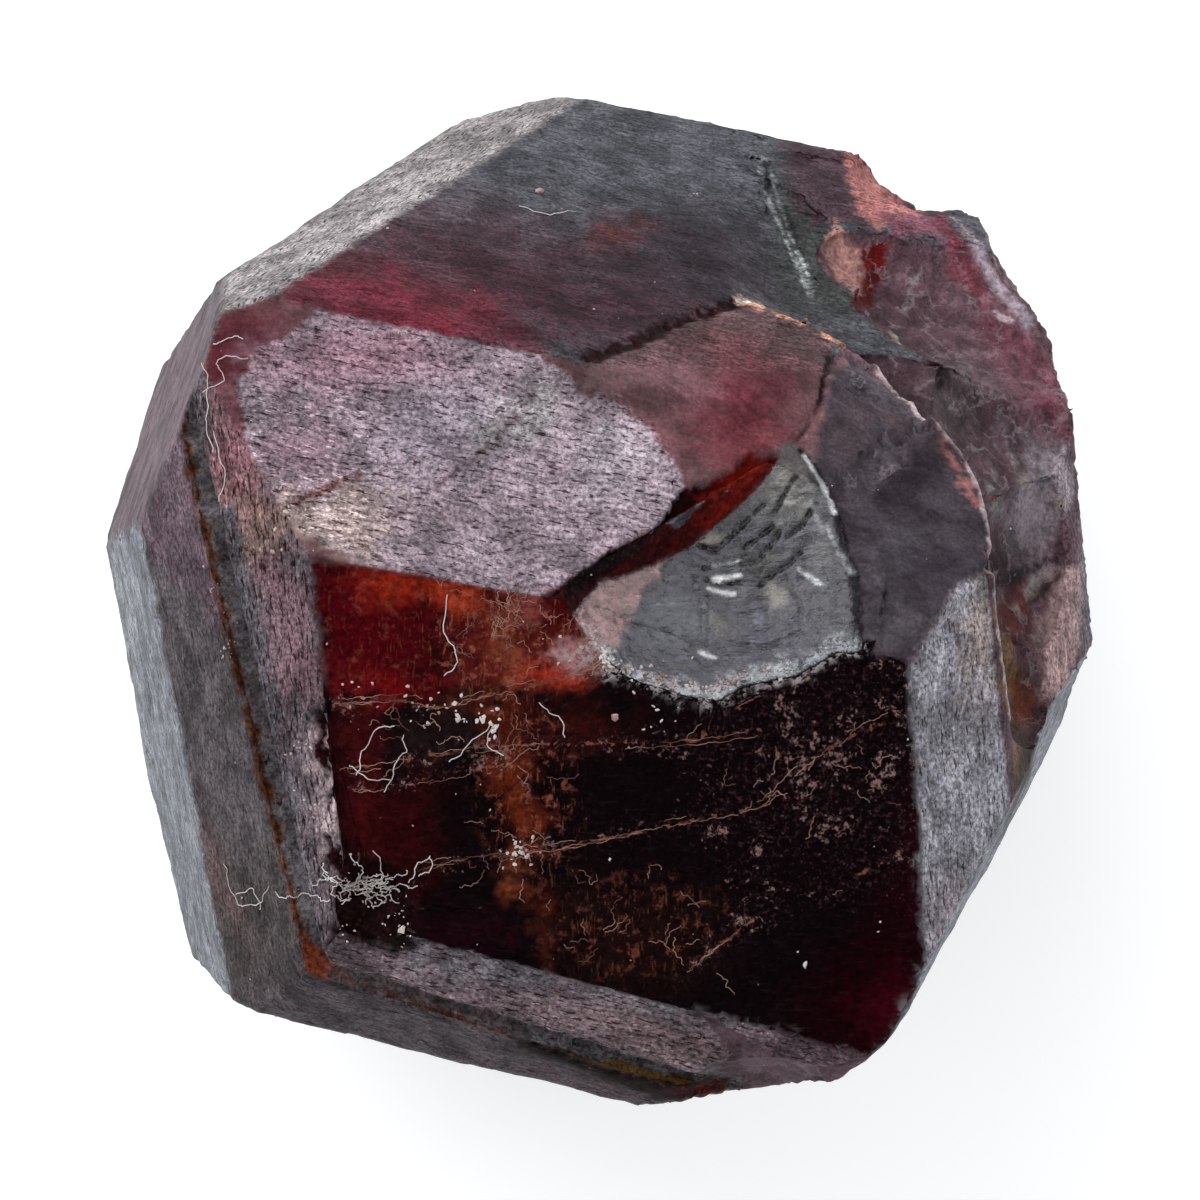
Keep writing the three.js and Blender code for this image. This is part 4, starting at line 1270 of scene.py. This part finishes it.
def window_material(settings):
    """The dark clear window, with pale flecks, webs of rust and healed cracks at its surface."""
    material, n, shader = start_material("clear dark garnet")
    place = n.place_mm()
    tone = n.attribute("tone", "Color")
    specks = placed_group(n, shared_group("specks and rust", speck_group), {
        "Place": place, "Specks": n.attribute("fleck"), "Rust": 0.0,
    })
    upright = n.noise(n.stretched(place, (9.0, 1.7, 9.0)), 1.0, 5.0, 0.72)
    lumps = n.noise(place, 2.6, 6.0, 0.78)
    fine = n.noise(place, 7.0, 4.0, 0.75)
    web = n.attribute("web")
    mottle = n.ramp(n.noise(place, 6.0, 4.0, 0.7), 0.3, 0.7, 0.5, 1.6)
    tone = n.shaded(tone, mottle)
    clots = n.math("MULTIPLY", n.ramp(lumps, 0.53, 0.63), web)
    tone = n.mixed(n.clamped(clots, 0.75), tone, colour(168, 92, 74))
    threads = n.math("MULTIPLY", n.ramp(upright, 0.56, 0.65), web)
    tone = n.mixed(n.clamped(threads, 0.7), tone, colour(156, 86, 60))
    haze = n.ramp(n.math("ADD", fine, n.math("MULTIPLY", n.attribute("fleck"), 0.10)), 0.62, 0.78)
    tone = n.mixed(n.clamped(n.math("MULTIPLY", haze, n.attribute("fleck")), 0.32), tone, colour(112, 72, 74))
    tone = n.mixed(n.clamped(specks["Specks"], 0.85), tone, colour(150, 118, 114))
    ragged = n.math("SUBTRACT", n.attribute("crack"), n.math("MULTIPLY", fine, 1.6))
    tone = n.mixed(n.clamped(n.ramp(ragged, -0.04, 0.16), 0.7), tone, colour(150, 92, 74))
    crumb = n.attribute("crumb")
    chips = n.ramp(n.noise(place, 5.0, 4.0, 0.8), 0.45, 0.56)
    tone = n.mixed(n.clamped(n.math("MULTIPLY", crumb, chips), 0.95), tone, colour(176, 168, 168))
    n.put(brightened(n, tone, settings), shader.inputs["Base Color"])
    scratch = n.noise(n.stretched(place, (2.0, 9.0, 2.0), (0, 0, 0), (0, 0, 0.3)), 1.0, 4.0, 0.7)
    n.put(n.ramp(scratch, 0.4, 0.75, 0.05, 0.22), shader.inputs["Roughness"])
    glass_shader(n, shader, settings)
    n.put(bumped(n, scratch, 0.12, 0.02 * MM), shader.inputs["Normal"])
    return material


def scar_material(settings):
    """The chipped hollow: greenish-grey clear garnet with crumbled edges, and dark arcs of painted shade in its
    stroke grooves with painted highlight beside them.
    """
    material, n, shader = start_material("chipped garnet")
    place = n.place_mm()
    tone = n.attribute("tone", "Color")
    spun = n.stretched(place, (1.1, 3.6, 1.6), (0, 0, 0), (0, 0, -0.65))
    strokes = n.noise(spun, 1.0, 4.0, 0.62)
    facets = n.cells(n.stretched(place, (0.9, 1.3, 1.0)), 1.5, "DISTANCE_TO_EDGE")
    mottle = n.ramp(n.noise(place, 3.5, 5.0, 0.7), 0.3, 0.7, 0.6, 1.45)
    tone = n.shaded(tone, mottle)
    # painted shade in the strokes, which the bump below sinks as grooves, and painted highlight (lit) on the
    # ground between them
    tone = n.mixed(n.ramp(strokes, 0.60, 0.68, 0.0, 0.8), tone, colour(20, 18, 20))
    lit = n.mixed(1.0, tone, (2.6, 2.7, 2.6, 1), "MULTIPLY")
    tone = n.mixed(n.ramp(strokes, 0.40, 0.32, 0.0, 0.7), tone, lit)
    crumb = n.attribute("crumb")
    chips = n.ramp(n.noise(place, 5.0, 4.0, 0.8), 0.42, 0.56)
    tone = n.mixed(n.clamped(n.math("MULTIPLY", crumb, chips), 0.95), tone, colour(198, 204, 208))
    # painted shade under and between the crumbled chips
    chip_shade = n.ramp(n.noise(n.stretched(place, (1, 1, 1), (9.0, 3.0, 1.0)), 4.0, 3.0, 0.7), 0.56, 0.62)
    tone = n.mixed(n.clamped(n.math("MULTIPLY", crumb, chip_shade), 0.9), tone, colour(20, 16, 20))
    n.put(brightened(n, tone, settings), shader.inputs["Base Color"])
    n.put(n.ramp(n.noise(place, 4.0, 3.0, 0.6), 0.3, 0.7, 0.14, 0.42), shader.inputs["Roughness"])
    glass_shader(n, shader, settings)
    height = n.math("SUBTRACT", n.ramp(facets, 0.0, 0.25, 0.0, 0.3), n.math("MULTIPLY", strokes, 2.6))
    height = n.math("ADD", height, n.math("MULTIPLY", n.noise(place, 5.0, 4.0, 0.6), 0.7))
    n.put(bumped(n, height, 0.5, 0.10 * MM), shader.inputs["Normal"])
    return material


def broken_material(settings):
    """Fresh breaks: the corner, the ledge's wall, the wedge bite and the pit."""
    material, n, shader = start_material("broken garnet")
    grain = grain_outputs(n, 0.1, 0.1)
    place = n.place_mm()
    tone = n.attribute("tone", "Color")
    specks = placed_group(n, shared_group("specks and rust", speck_group), {
        "Place": place, "Specks": 0.3, "Rust": n.attribute("rust"),
    })
    mottle = n.ramp(grain["Mottle"], 0.25, 0.75, 0.55, 1.45)
    streaks = n.noise(n.stretched(place, (2.2, 0.9, 1.6), (0, 0, 0), (0, 0, 0.4)), 1.0, 5.0, 0.65)
    cloud = n.ramp(streaks, 0.34, 0.68, 0.6, 1.45)
    shade = n.math("MULTIPLY", mottle, cloud)
    tone = n.shaded(tone, shade)
    bend = n.math("MULTIPLY", n.noise(place, 1.1, 4.0, 0.6), 2.4)
    net = n.cells(n.shifted(place, (bend, bend, bend)), 0.95, "DISTANCE_TO_EDGE")
    veins = n.math("MULTIPLY", n.ramp(net, 0.07, 0.0), n.ramp(n.noise(place, 1.6, 3.0, 0.6), 0.42, 0.62))
    calm = n.ramp(n.attribute("gloss"), 0.72, 0.77, 1.0, 0.0)
    tone = n.mixed(n.math("MULTIPLY", n.clamped(veins, 0.4), calm), tone, colour(176, 158, 164))
    tone = n.mixed(n.ramp(net, 0.22, 0.5, 0.0, 0.45), tone, colour(52, 24, 36))
    tone = n.mixed(n.clamped(specks["Specks"], n.math("MULTIPLY", calm, 0.6)), tone, colour(196, 178, 172))
    tone = n.mixed(specks["Rust"], tone, colour(138, 66, 28))
    n.put(tone, shader.inputs["Base Color"])
    n.put(n.ramp(grain["Mottle"], 0.3, 0.7, 0.24, 0.46), shader.inputs["Roughness"])
    n.put(settings.break_specular, shader.inputs["Specular IOR Level"])
    height = n.math("ADD", n.math("MULTIPLY", streaks, 1.6), grain["Mottle"])
    n.put(bumped(n, height, 0.5, 0.10 * MM), shader.inputs["Normal"])
    return material


MATERIAL_OF_PATCH = {"window": 1, "scar": 2, "broken": 3, "wall": 3}


def matt_material(name, cloud, span, dark, pale, roughness):
    """A plain material that drifts between two colours."""
    material, n, shader = start_material(name)
    shade = n.ramp(n.noise(n.place_mm(), *cloud), *span)
    n.put(n.mixed(shade, colour(*dark), colour(*pale)), shader.inputs["Base Color"])
    shader.inputs["Roughness"].default_value = roughness
    return material


def lint_material():
    return matt_material("pale lint", (1.6, 2.0, 0.5), (0.3, 0.7), (206, 192, 186), (250, 245, 242), 0.7)


def thread_material():
    return matt_material("rust threads", (1.1, 3.0, 0.6), (0.35, 0.65), (104, 54, 42), (190, 146, 130), 0.6)


def dust_material():
    return matt_material("pale dust", (1.2, 3.0, 0.6), (0.35, 0.65), (168, 120, 114), (232, 224, 220), 0.45)


def floor_material(settings):
    material, n, shader = start_material("pale floor")
    shade = n.noise(n.place_mm(), 0.02, 2.0, 0.5)
    low = tuple(c * 0.985 for c in settings.floor_colour)
    n.put(n.mixed(shade, (*low, 1), (*settings.floor_colour, 1)), shader.inputs["Base Color"])
    shader.inputs["Roughness"].default_value = 0.8
    n.put((1.0, 1.0, 1.0, 1), shader.inputs["Emission Color"])
    shader.inputs["Emission Strength"].default_value = settings.floor_glow
    return material


# Soft boxes: name, place in metres, size in metres and power in watts
STUDIO_LIGHTS = [
    ("back_left_box", (-0.16, 0.22, 0.22), 0.28, 0.8),
]


def lamp(name, place, size, power):
    """A square soft box turned to the crystal."""
    light = bpy.data.lights.new(name, "AREA")
    light.energy = power
    light.size = size
    box = bpy.data.objects.new(name, light)
    box.location = place
    box.visible_glossy = False
    aim = Vector((0, 0, CENTRE_HEIGHT * MM)) - box.location
    box.rotation_euler = aim.to_track_quat("-Z", "Y").to_euler()
    bpy.context.scene.collection.objects.link(box)


def studio_world(scene, settings):
    """A pale tent with a dark opening straight above, where the viewer looks in."""
    world = bpy.data.worlds.new("studio")
    scene.world = world
    world.use_nodes = True
    n = Nodes(world.node_tree)
    sky = world.node_tree.nodes.new("ShaderNodeTexCoord").outputs["Generated"]
    height = n.add("ShaderNodeSeparateXYZ", (sky,), output="Z")
    opening = n.ramp(height, 0.84, 0.95, 1.0, 0.01)
    lower = n.ramp(height, 0.0, 0.5, 0.75, 1.0)
    level = n.math("MULTIPLY", n.math("MULTIPLY", opening, lower), settings.tent_level)
    background = world.node_tree.nodes["Background"]
    n.put(level, background.inputs["Strength"])
    background.inputs["Color"].default_value = (0.96, 0.98, 1.0, 1)


class CrystalSettings(bpy.types.PropertyGroup):
    """Sizes and colours of the crystal's skin."""

    fineness: FloatProperty(name="Fineness", description="Scales every patch's step", default=1.0)
    edge_passes: IntProperty(name="Edge passes", description="How often sharp edges are softened", default=3)
    worn_passes: IntProperty(name="Worn passes", description="How often the worn block is softened",
                             default=40)
    break_passes: IntProperty(name="Break passes", description="How often the breaks are softened",
                              default=14)
    break_relief: FloatProperty(
        name="Break relief", description="Depth of the broken corner's hackles", default=0.6 * MM,
        unit="LENGTH"
    )
    ripple_depth: FloatProperty(
        name="Ripple depth", description="Depth of the scar's arcs", default=0.05 * MM, unit="LENGTH"
    )
    skin_specular: FloatProperty(name="Skin specular", description="Specular level of the etched faces",
                                 default=0.02)
    break_specular: FloatProperty(name="Break specular", description="Specular level of the breaks",
                                  default=0.08)
    index: FloatProperty(name="Refractive index", description="Of clear garnet", default=1.77)
    clearness: FloatProperty(name="Clearness", description="Share of light that enters the window",
                             default=0.5)
    body_colour: FloatVectorProperty(
        name="Body colour", description="Colour of light deep in the crystal", subtype="COLOR", size=3,
        default=(0.45, 0.02, 0.04)
    )
    body_density: FloatProperty(name="Body density", description="Absorption per metre", default=260.0)


class StageSettings(bpy.types.PropertyGroup):
    """The floor, lights and camera."""

    floor_colour: FloatVectorProperty(
        name="Floor", description="Colour of the floor", subtype="COLOR", size=3, default=(0.9, 0.9, 0.9)
    )
    floor_glow: FloatProperty(name="Floor glow", description="Light of the lit table under the crystal",
                              default=0.3)
    tent_level: FloatProperty(name="Tent level", description="Brightness of the studio tent", default=1.15)
    camera_distance: FloatProperty(
        name="Camera distance", description="From the crystal's centre", default=120 * MM, unit="LENGTH"
    )
    lens: FloatProperty(name="Lens", description="Focal length in millimetres", default=129.6)


class GARNET_OT_crystal(bpy.types.Operator):
    """Build the crystal's fine skin"""

    bl_idname = "garnet.crystal"
    bl_label = "Crystal"

    def execute(self, context):
        settings = context.scene.garnet_crystal
        bm = merged_solid(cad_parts[CRYSTAL_NODE])
        refine(bm, settings)
        drop_flaps(bm)
        fill_beside_scar(bm)
        soften_edges(bm, settings)
        skin = Skin(bm)
        skin.relief = carve(skin, settings)
        settle(skin, skin.relief)
        layer = bm.faces.layers.int["patch"]
        for face in bm.faces:
            face.material_index = MATERIAL_OF_PATCH.get(PATCHES[face[layer]], 0)
            if PATCHES[face[layer]] == "window" and face.normal.z < FLAT_ENOUGH:
                face.material_index = 0
            face.smooth = True
        for edge in bm.edges:
            edge.smooth = len({face.material_index for face in edge.link_faces}) == 1
        mesh = bpy.data.meshes.new("crystal_skin")
        bm.to_mesh(mesh)
        for name, values in paint(skin).items():
            store(mesh, name, values)
        bm.free()
        lay_grain(mesh)
        for make in (etched_material, window_material, scar_material, broken_material):
            mesh.materials.append(make(settings))
        piece = finished_piece("crystal_skin", mesh)
        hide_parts(CRYSTAL_NODE)
        return {"FINISHED"}


# Loose fibres, as the plan points that each one passes over
FIBRES = [
    [(-7.1, -4.1), (-7.0, -3.65), (-6.7, -3.1), (-6.2, -2.9)],
    [(-6.4, -4.6), (-6.2, -4.0), (-5.9, -3.5), (-6.0, -3.2)],
    [(-4.8, -3.8), (-4.3, -3.4), (-3.8, -2.9)],
    [(-7.3, -3.9), (-6.9, -4.2), (-6.3, -4.3)],
    [(-6.7, -6.0), (-6.5, -6.4), (-6.5, -6.8)],
    [(-5.8, -6.8), (-5.6, -6.4), (-5.3, -6.2), (-5.3, -6.5), (-5.6, -6.7)],
    [(-4.9, 0.3), (-4.9, -0.7), (-4.6, -1.2), (-4.9, -1.7)],
    [(-2.6, -2.4), (-2.1, -2.7), (-1.9, -3.2)],
    [(-3.6, -2.9), (-3.9, -3.3), (-3.5, -3.7)],
    [(-10.4, -6.6), (-10.3, -7.1), (-10.0, -7.7), (-9.5, -7.5), (-9.3, -7.1)],
    [(-10.1, -7.4), (-9.7, -7.2), (-9.5, -7.7)],
    [(-10.9, 5.4), (-10.4, 5.8), (-10.6, 6.1), (-10.4, 6.3), (-9.8, 6.3)],
    [(-10.95, 6.2), (-10.8, 5.6), (-10.85, 4.8), (-10.7, 3.9)],
    [(-10.7, 6.6), (-10.3, 6.8), (-9.9, 6.8)],
    [(-10.7, 4.4), (-10.4, 3.5), (-10.5, 2.7)],
    [(-2.4, 10.7), (-1.6, 10.5), (-0.9, 10.6)],
]
TANGLE = {"centre": (-6.9, -7.0), "half": (1.0, 0.35), "fibres": 26}

# Loose grains: plan centre, spread, count and radius in mm
GRAINS = [
    ((-1.8, 11.2), 0.0, 1, 0.17), ((-0.7, -2.7), 0.05, 2, 0.11), ((4.1, -9.0), 0.04, 2, 0.09),
    ((-4.4, -2.6), 0.25, 14, 0.07), ((-3.7, -2.8), 0.2, 14, 0.08), ((-6.3, -7.5), 0.4, 18, 0.045),
    ((-6.2, -8.2), 0.3, 6, 0.06), ((-7.4, -8.0), 0.15, 6, 0.05), ((-6.0, -8.0), 0.0, 1, 0.13),
    ((-10.6, 0.4), 0.25, 14, 0.04), ((-10.2, -1.0), 0.2, 12, 0.04), ((-7.2, -7.1), 0.3, 16, 0.06),
    ((-3.2, -6.2), 0.25, 16, 0.07), ((-5.2, -2.45), 0.25, 10, 0.06), ((-7.0, -2.3), 0.3, 10, 0.05),
    ((-8.6, -3.6), 0.25, 10, 0.05), ((-8.2, -4.9), 0.2, 10, 0.05), ((-1.5, -0.95), 0.35, 12, 0.07),
    ((-3.0, -6.1), 0.25, 8, 0.08), ((-5.7, -2.4), 0.4, 6, 0.06), ((1.0, -1.9), 0.7, 12, 0.06),
    ((-9.0, 2.2), 0.35, 8, 0.07),
]
SPECKS = {"count": 110, "radius": 0.032}


# Nets of rust threads: plan centre, spread and count
EMBER_NETS = [
    ((-3.4, -0.7), (0.9, 0.6), 34), ((-2.6, -0.2), (0.6, 0.4), 18), ((-3.1, -3.4), (0.3, 0.9), 12),
    ((-5.9, -3.2), (0.6, 0.4), 10), ((-3.2, -6.2), (0.5, 0.4), 14), ((-0.4, -7.9), (1.3, 0.9), 22),
    ((3.4, -4.8), (0.8, 0.4), 8), ((5.4, -4.0), (0.9, 0.8), 12),
]


class Ground:
    """The crystal's surface as seen from straight above."""

    def __init__(self):
        depsgraph = bpy.context.evaluated_depsgraph_get()
        self.tree = BVHTree.FromObject(bpy.data.objects["crystal_skin"], depsgraph)

    def under(self, x, y):
        """The surface point below a plan point, or None beside the crystal."""
        hit = self.tree.ray_cast(Vector((x * MM, y * MM, 0.05)), Vector((0, 0, -1)))
        return hit[0]


def between(before, start, end, after, t):
    """A smooth curve's value at the share t of the way from start to end."""
    bend = 2 * before - 5 * start + 4 * end - after
    twist = 3 * start - before - 3 * end + after
    return 0.5 * (2 * start + (end - before) * t + bend * t * t + twist * t ** 3)


def curved(points, steps):
    """Points on a smooth curve through the given plan points."""
    padded = [points[0], *points, points[-1]]
    result = []
    for before, start, end, after in zip(padded, padded[1:], padded[2:], padded[3:]):
        for i in range(steps):
            t = i / steps
            result.append(tuple(between(*values, t) for values in zip(before, start, end, after)))
    result.append(points[-1])
    return result


def tangled_fibres(rng):
    """Short curly fibres piled over the dirt pit."""
    x, y = TANGLE["centre"]
    across, along = TANGLE["half"]
    fibres = []
    for _ in range(TANGLE["fibres"]):
        point = (x + rng.gauss(0, across * 0.45), y + rng.gauss(0, along * 0.6))
        heading = rng.uniform(-0.6, 0.6) + rng.choice((0, math.pi))
        path = [point]
        for _ in range(rng.randint(3, 6)):
            heading += rng.gauss(0, 0.9)
            point = (point[0] + 0.24 * math.cos(heading), point[1] + 0.16 * math.sin(heading))
            path.append(point)
        fibres.append(path)
    return fibres


def fibre_mesh(fibres, ground, radius, rng, wander=0.035, hump_height=0.05):
    """Thin round fibres lying on the crystal, as one mesh."""
    curve = bpy.data.curves.new("fibres", "CURVE")
    curve.dimensions = "3D"
    curve.bevel_depth = radius
    curve.bevel_resolution = 1
    curve.use_fill_caps = True
    top = CAD_BOX[1].z - radius
    for path in fibres:
        wave = rng.uniform(0, 6)
        found = []
        for i, (x, y) in enumerate(curved(path, 6)):
            x += wander * (math.sin(i * 0.9 + wave) + 0.5 * math.sin(i * 1.9 + 3 * wave))
            y += wander * (math.sin(i * 0.7 + 2 * wave) + 0.5 * math.sin(i * 2.3 + wave))
            place = ground.under(x, y)
            if place:
                hump = hump_height * MM * (1 + math.sin(i * 0.5 + wave))
                found.append(Vector((place.x, place.y, min(place.z + radius + hump, top))))
        if len(found) < 3:
            continue
        spline = curve.splines.new("POLY")
        spline.points.add(len(found) - 1)
        for point, place in zip(spline.points, found):
            point.co = (*place, 1)
    holder = bpy.data.objects.new("fibres", curve)
    bpy.context.scene.collection.objects.link(holder)
    depsgraph = bpy.context.evaluated_depsgraph_get()
    mesh = bpy.data.meshes.new_from_object(holder.evaluated_get(depsgraph))
    bpy.data.objects.remove(holder)
    bpy.data.curves.remove(curve)
    return mesh


def add_grain(bm, place, radius, rng):
    """One small angular grain, partly sunk in the surface."""
    made = bmesh.ops.create_icosphere(bm, subdivisions=1, radius=radius)["verts"]
    for vert in made:
        vert.co *= rng.uniform(0.55, 1.35)
    turn = Matrix.Rotation(rng.uniform(0, math.tau), 3, "Z")
    bmesh.ops.scale(bm, verts=made, vec=(1.0, rng.uniform(0.45, 0.9), 0.5))
    bmesh.ops.rotate(bm, verts=made, matrix=turn)
    top = max(v.co.z for v in made)
    lift = min(place.z + 0.2 * radius, CAD_BOX[1].z - top)
    bmesh.ops.translate(bm, verts=made, vec=(place.x, place.y, lift))


class LooseSettings(bpy.types.PropertyGroup):
    """Lint and dust lying on the crystal."""

    fibre_radius: FloatProperty(
        name="Fibre radius", description="Of one lint fibre", default=0.013 * MM, unit="LENGTH"
    )
    thread_radius: FloatProperty(
        name="Thread radius", description="Of one thread of rust", default=0.008 * MM, unit="LENGTH"
    )
    seed: IntProperty(name="Seed", description="Changes where loose specks fall", default=7)


def crack_threads(rng):
    """Short broken threads that follow the window's healed cracks."""
    threads = []
    for number, line in enumerate(WINDOW_CRACKS):
        strands = (3, 2, 2, 3, 2, 1, 1)[number]
        for _ in range(strands):
            points = curved(line, 5)
            shift = rng.gauss(0, 0.07), rng.gauss(0, 0.07)
            start = 0
            while start < len(points) - 3:
                count = rng.randint(3, 9)
                part = points[start:start + count]
                threads.append([(x + shift[0], y + shift[1]) for x, y in part])
                start += count + rng.randint(1, 6)
    return threads


def ember_threads(rng):
    """A loose net of short threads over the rusty zone and the orange streak."""
    threads = []
    for (x, y), (across, along), count in EMBER_NETS:
        for _ in range(count):
            point = (x + rng.gauss(0, across), y + rng.gauss(0, along))
            heading = rng.uniform(0, math.tau)
            path = [point]
            for _ in range(rng.randint(2, 5)):
                heading += rng.gauss(0, 0.7)
                point = (point[0] + 0.16 * math.cos(heading), point[1] + 0.16 * math.sin(heading))
                path.append(point)
            threads.append(path)
    return threads


class GARNET_OT_threads(bpy.types.Operator):
    """Draw the threads of rust in the window's cracks"""

    bl_idname = "garnet.threads"
    bl_label = "Rust threads"

    def execute(self, context):
        settings = context.scene.garnet_loose
        rng = random.Random(settings.seed + 2)
        ground = Ground()
        threads = [path for path in crack_threads(rng) + ember_threads(rng) if ground.under(*path[0])]
        mesh = fibre_mesh(threads, ground, settings.thread_radius, rng, 0.02, 0.0)
        mesh.name = "rust_threads"
        mesh.materials.clear()
        mesh.materials.append(thread_material())
        finished_piece("rust_threads", mesh)
        return {"FINISHED"}


class GARNET_OT_lint(bpy.types.Operator):
    """Lay the lint fibres on the crystal"""

    bl_idname = "garnet.lint"
    bl_label = "Lint"

    def execute(self, context):
        settings = context.scene.garnet_loose
        rng = random.Random(settings.seed)
        fibres = FIBRES + tangled_fibres(rng)
        mesh = fibre_mesh(fibres, Ground(), settings.fibre_radius, rng)
        mesh.name = "lint_fibres"
        mesh.materials.clear()
        mesh.materials.append(lint_material())
        finished_piece("lint_fibres", mesh)
        return {"FINISHED"}


def chip_places(rng):
    """Plan points crowded along the scar's crumbled front edge."""
    along = curved(SCAR_FRONT[:-2], 9)
    return [(x + rng.gauss(0, 0.05), y + 0.08 + rng.gauss(0, 0.09)) for x, y in along for _ in range(3)]


class GARNET_OT_dust(bpy.types.Operator):
    """Scatter the dust and crumbs on the crystal"""

    bl_idname = "garnet.dust"
    bl_label = "Dust"

    def execute(self, context):
        settings = context.scene.garnet_loose
        rng = random.Random(settings.seed + 1)
        ground = Ground()
        bm = bmesh.new()
        for (x, y), spread, count, radius in GRAINS:
            for _ in range(count):
                place = ground.under(x + rng.gauss(0, 1) * spread, y + rng.gauss(0, 1) * spread)
                size = radius if count < 3 else radius * rng.uniform(0.4, 1.2)
                if place:
                    add_grain(bm, place, size * MM, rng)
        for x, y in chip_places(rng):
            place = ground.under(x, y)
            if place:
                add_grain(bm, place, rng.uniform(0.03, 0.075) * MM, rng)
        for _ in range(SPECKS["count"]):
            place = ground.under(rng.uniform(-12, 12), rng.uniform(-12, 13))
            if place and place.z > CENTRE_HEIGHT * MM:
                add_grain(bm, place, SPECKS["radius"] * rng.uniform(0.5, 1.4) * MM, rng)
        mesh = bpy.data.meshes.new("dust_grains")
        bm.to_mesh(mesh)
        bm.free()
        mesh.materials.append(dust_material())
        finished_piece("dust_grains", mesh)
        return {"FINISHED"}


class GARNET_OT_stage(bpy.types.Operator):
    """Make the floor, the lights and the camera"""

    bl_idname = "garnet.stage"
    bl_label = "Stage"

    def execute(self, context):
        settings = context.scene.garnet_stage
        bm = bmesh.new()
        bmesh.ops.create_grid(bm, x_segments=1, y_segments=1, size=1.5)
        mesh = bpy.data.meshes.new("floor")
        bm.to_mesh(mesh)
        bm.free()
        mesh.materials.append(floor_material(settings))
        floor = bpy.data.objects.new("floor", mesh)
        context.scene.collection.objects.link(floor)
        camera = bpy.data.objects.new("camera", bpy.data.cameras.new("camera"))
        context.scene.collection.objects.link(camera)
        toward = Vector((math.tan(math.radians(-5)), math.tan(math.radians(1)), 1)).normalized()
        right = Vector((0, 1, 0)).cross(toward).normalized()
        upright = toward.cross(right)
        centre = Vector((0, 0, CENTRE_HEIGHT * MM))
        turn = Matrix((right, upright, toward)).transposed().to_4x4()
        camera.matrix_world = Matrix.Translation(centre + toward * settings.camera_distance) @ turn
        camera.data.lens = settings.lens
        camera.data.sensor_width = 36
        camera.data.clip_start = 0.005
        context.scene.camera = camera
        studio_world(context.scene, settings)
        for name, place, size, power in STUDIO_LIGHTS:
            lamp(name, place, size, power)
        context.scene.view_settings.view_transform = "Standard"
        return {"FINISHED"}


class GARNET_PT_panel(bpy.types.Panel):
    """Lists the crystal's pieces"""

    bl_label = "Garnet Crystal"
    bl_space_type = "VIEW_3D"
    bl_region_type = "UI"
    bl_category = "Garnet"

    def draw(self, context):
        self.layout.operator(GARNET_OT_crystal.bl_idname)
        self.layout.operator(GARNET_OT_threads.bl_idname)
        self.layout.operator(GARNET_OT_lint.bl_idname)
        self.layout.operator(GARNET_OT_dust.bl_idname)
        self.layout.operator(GARNET_OT_stage.bl_idname)


CLASSES = (
    CrystalSettings, LooseSettings, StageSettings, GARNET_OT_crystal, GARNET_OT_threads, GARNET_OT_lint,
    GARNET_OT_dust, GARNET_OT_stage, GARNET_PT_panel,
)


def register():
    for cls in CLASSES:
        bpy.utils.register_class(cls)
    bpy.types.Scene.garnet_crystal = PointerProperty(type=CrystalSettings)
    bpy.types.Scene.garnet_loose = PointerProperty(type=LooseSettings)
    bpy.types.Scene.garnet_stage = PointerProperty(type=StageSettings)


def unregister():
    del bpy.types.Scene.garnet_stage
    del bpy.types.Scene.garnet_loose
    del bpy.types.Scene.garnet_crystal
    for cls in reversed(CLASSES):
        bpy.utils.unregister_class(cls)


def main():
    register()
    bpy.ops.garnet.crystal()
    bpy.ops.garnet.threads()
    bpy.ops.garnet.lint()
    bpy.ops.garnet.dust()
    bpy.ops.garnet.stage()


if __name__ == "__main__":
    main()
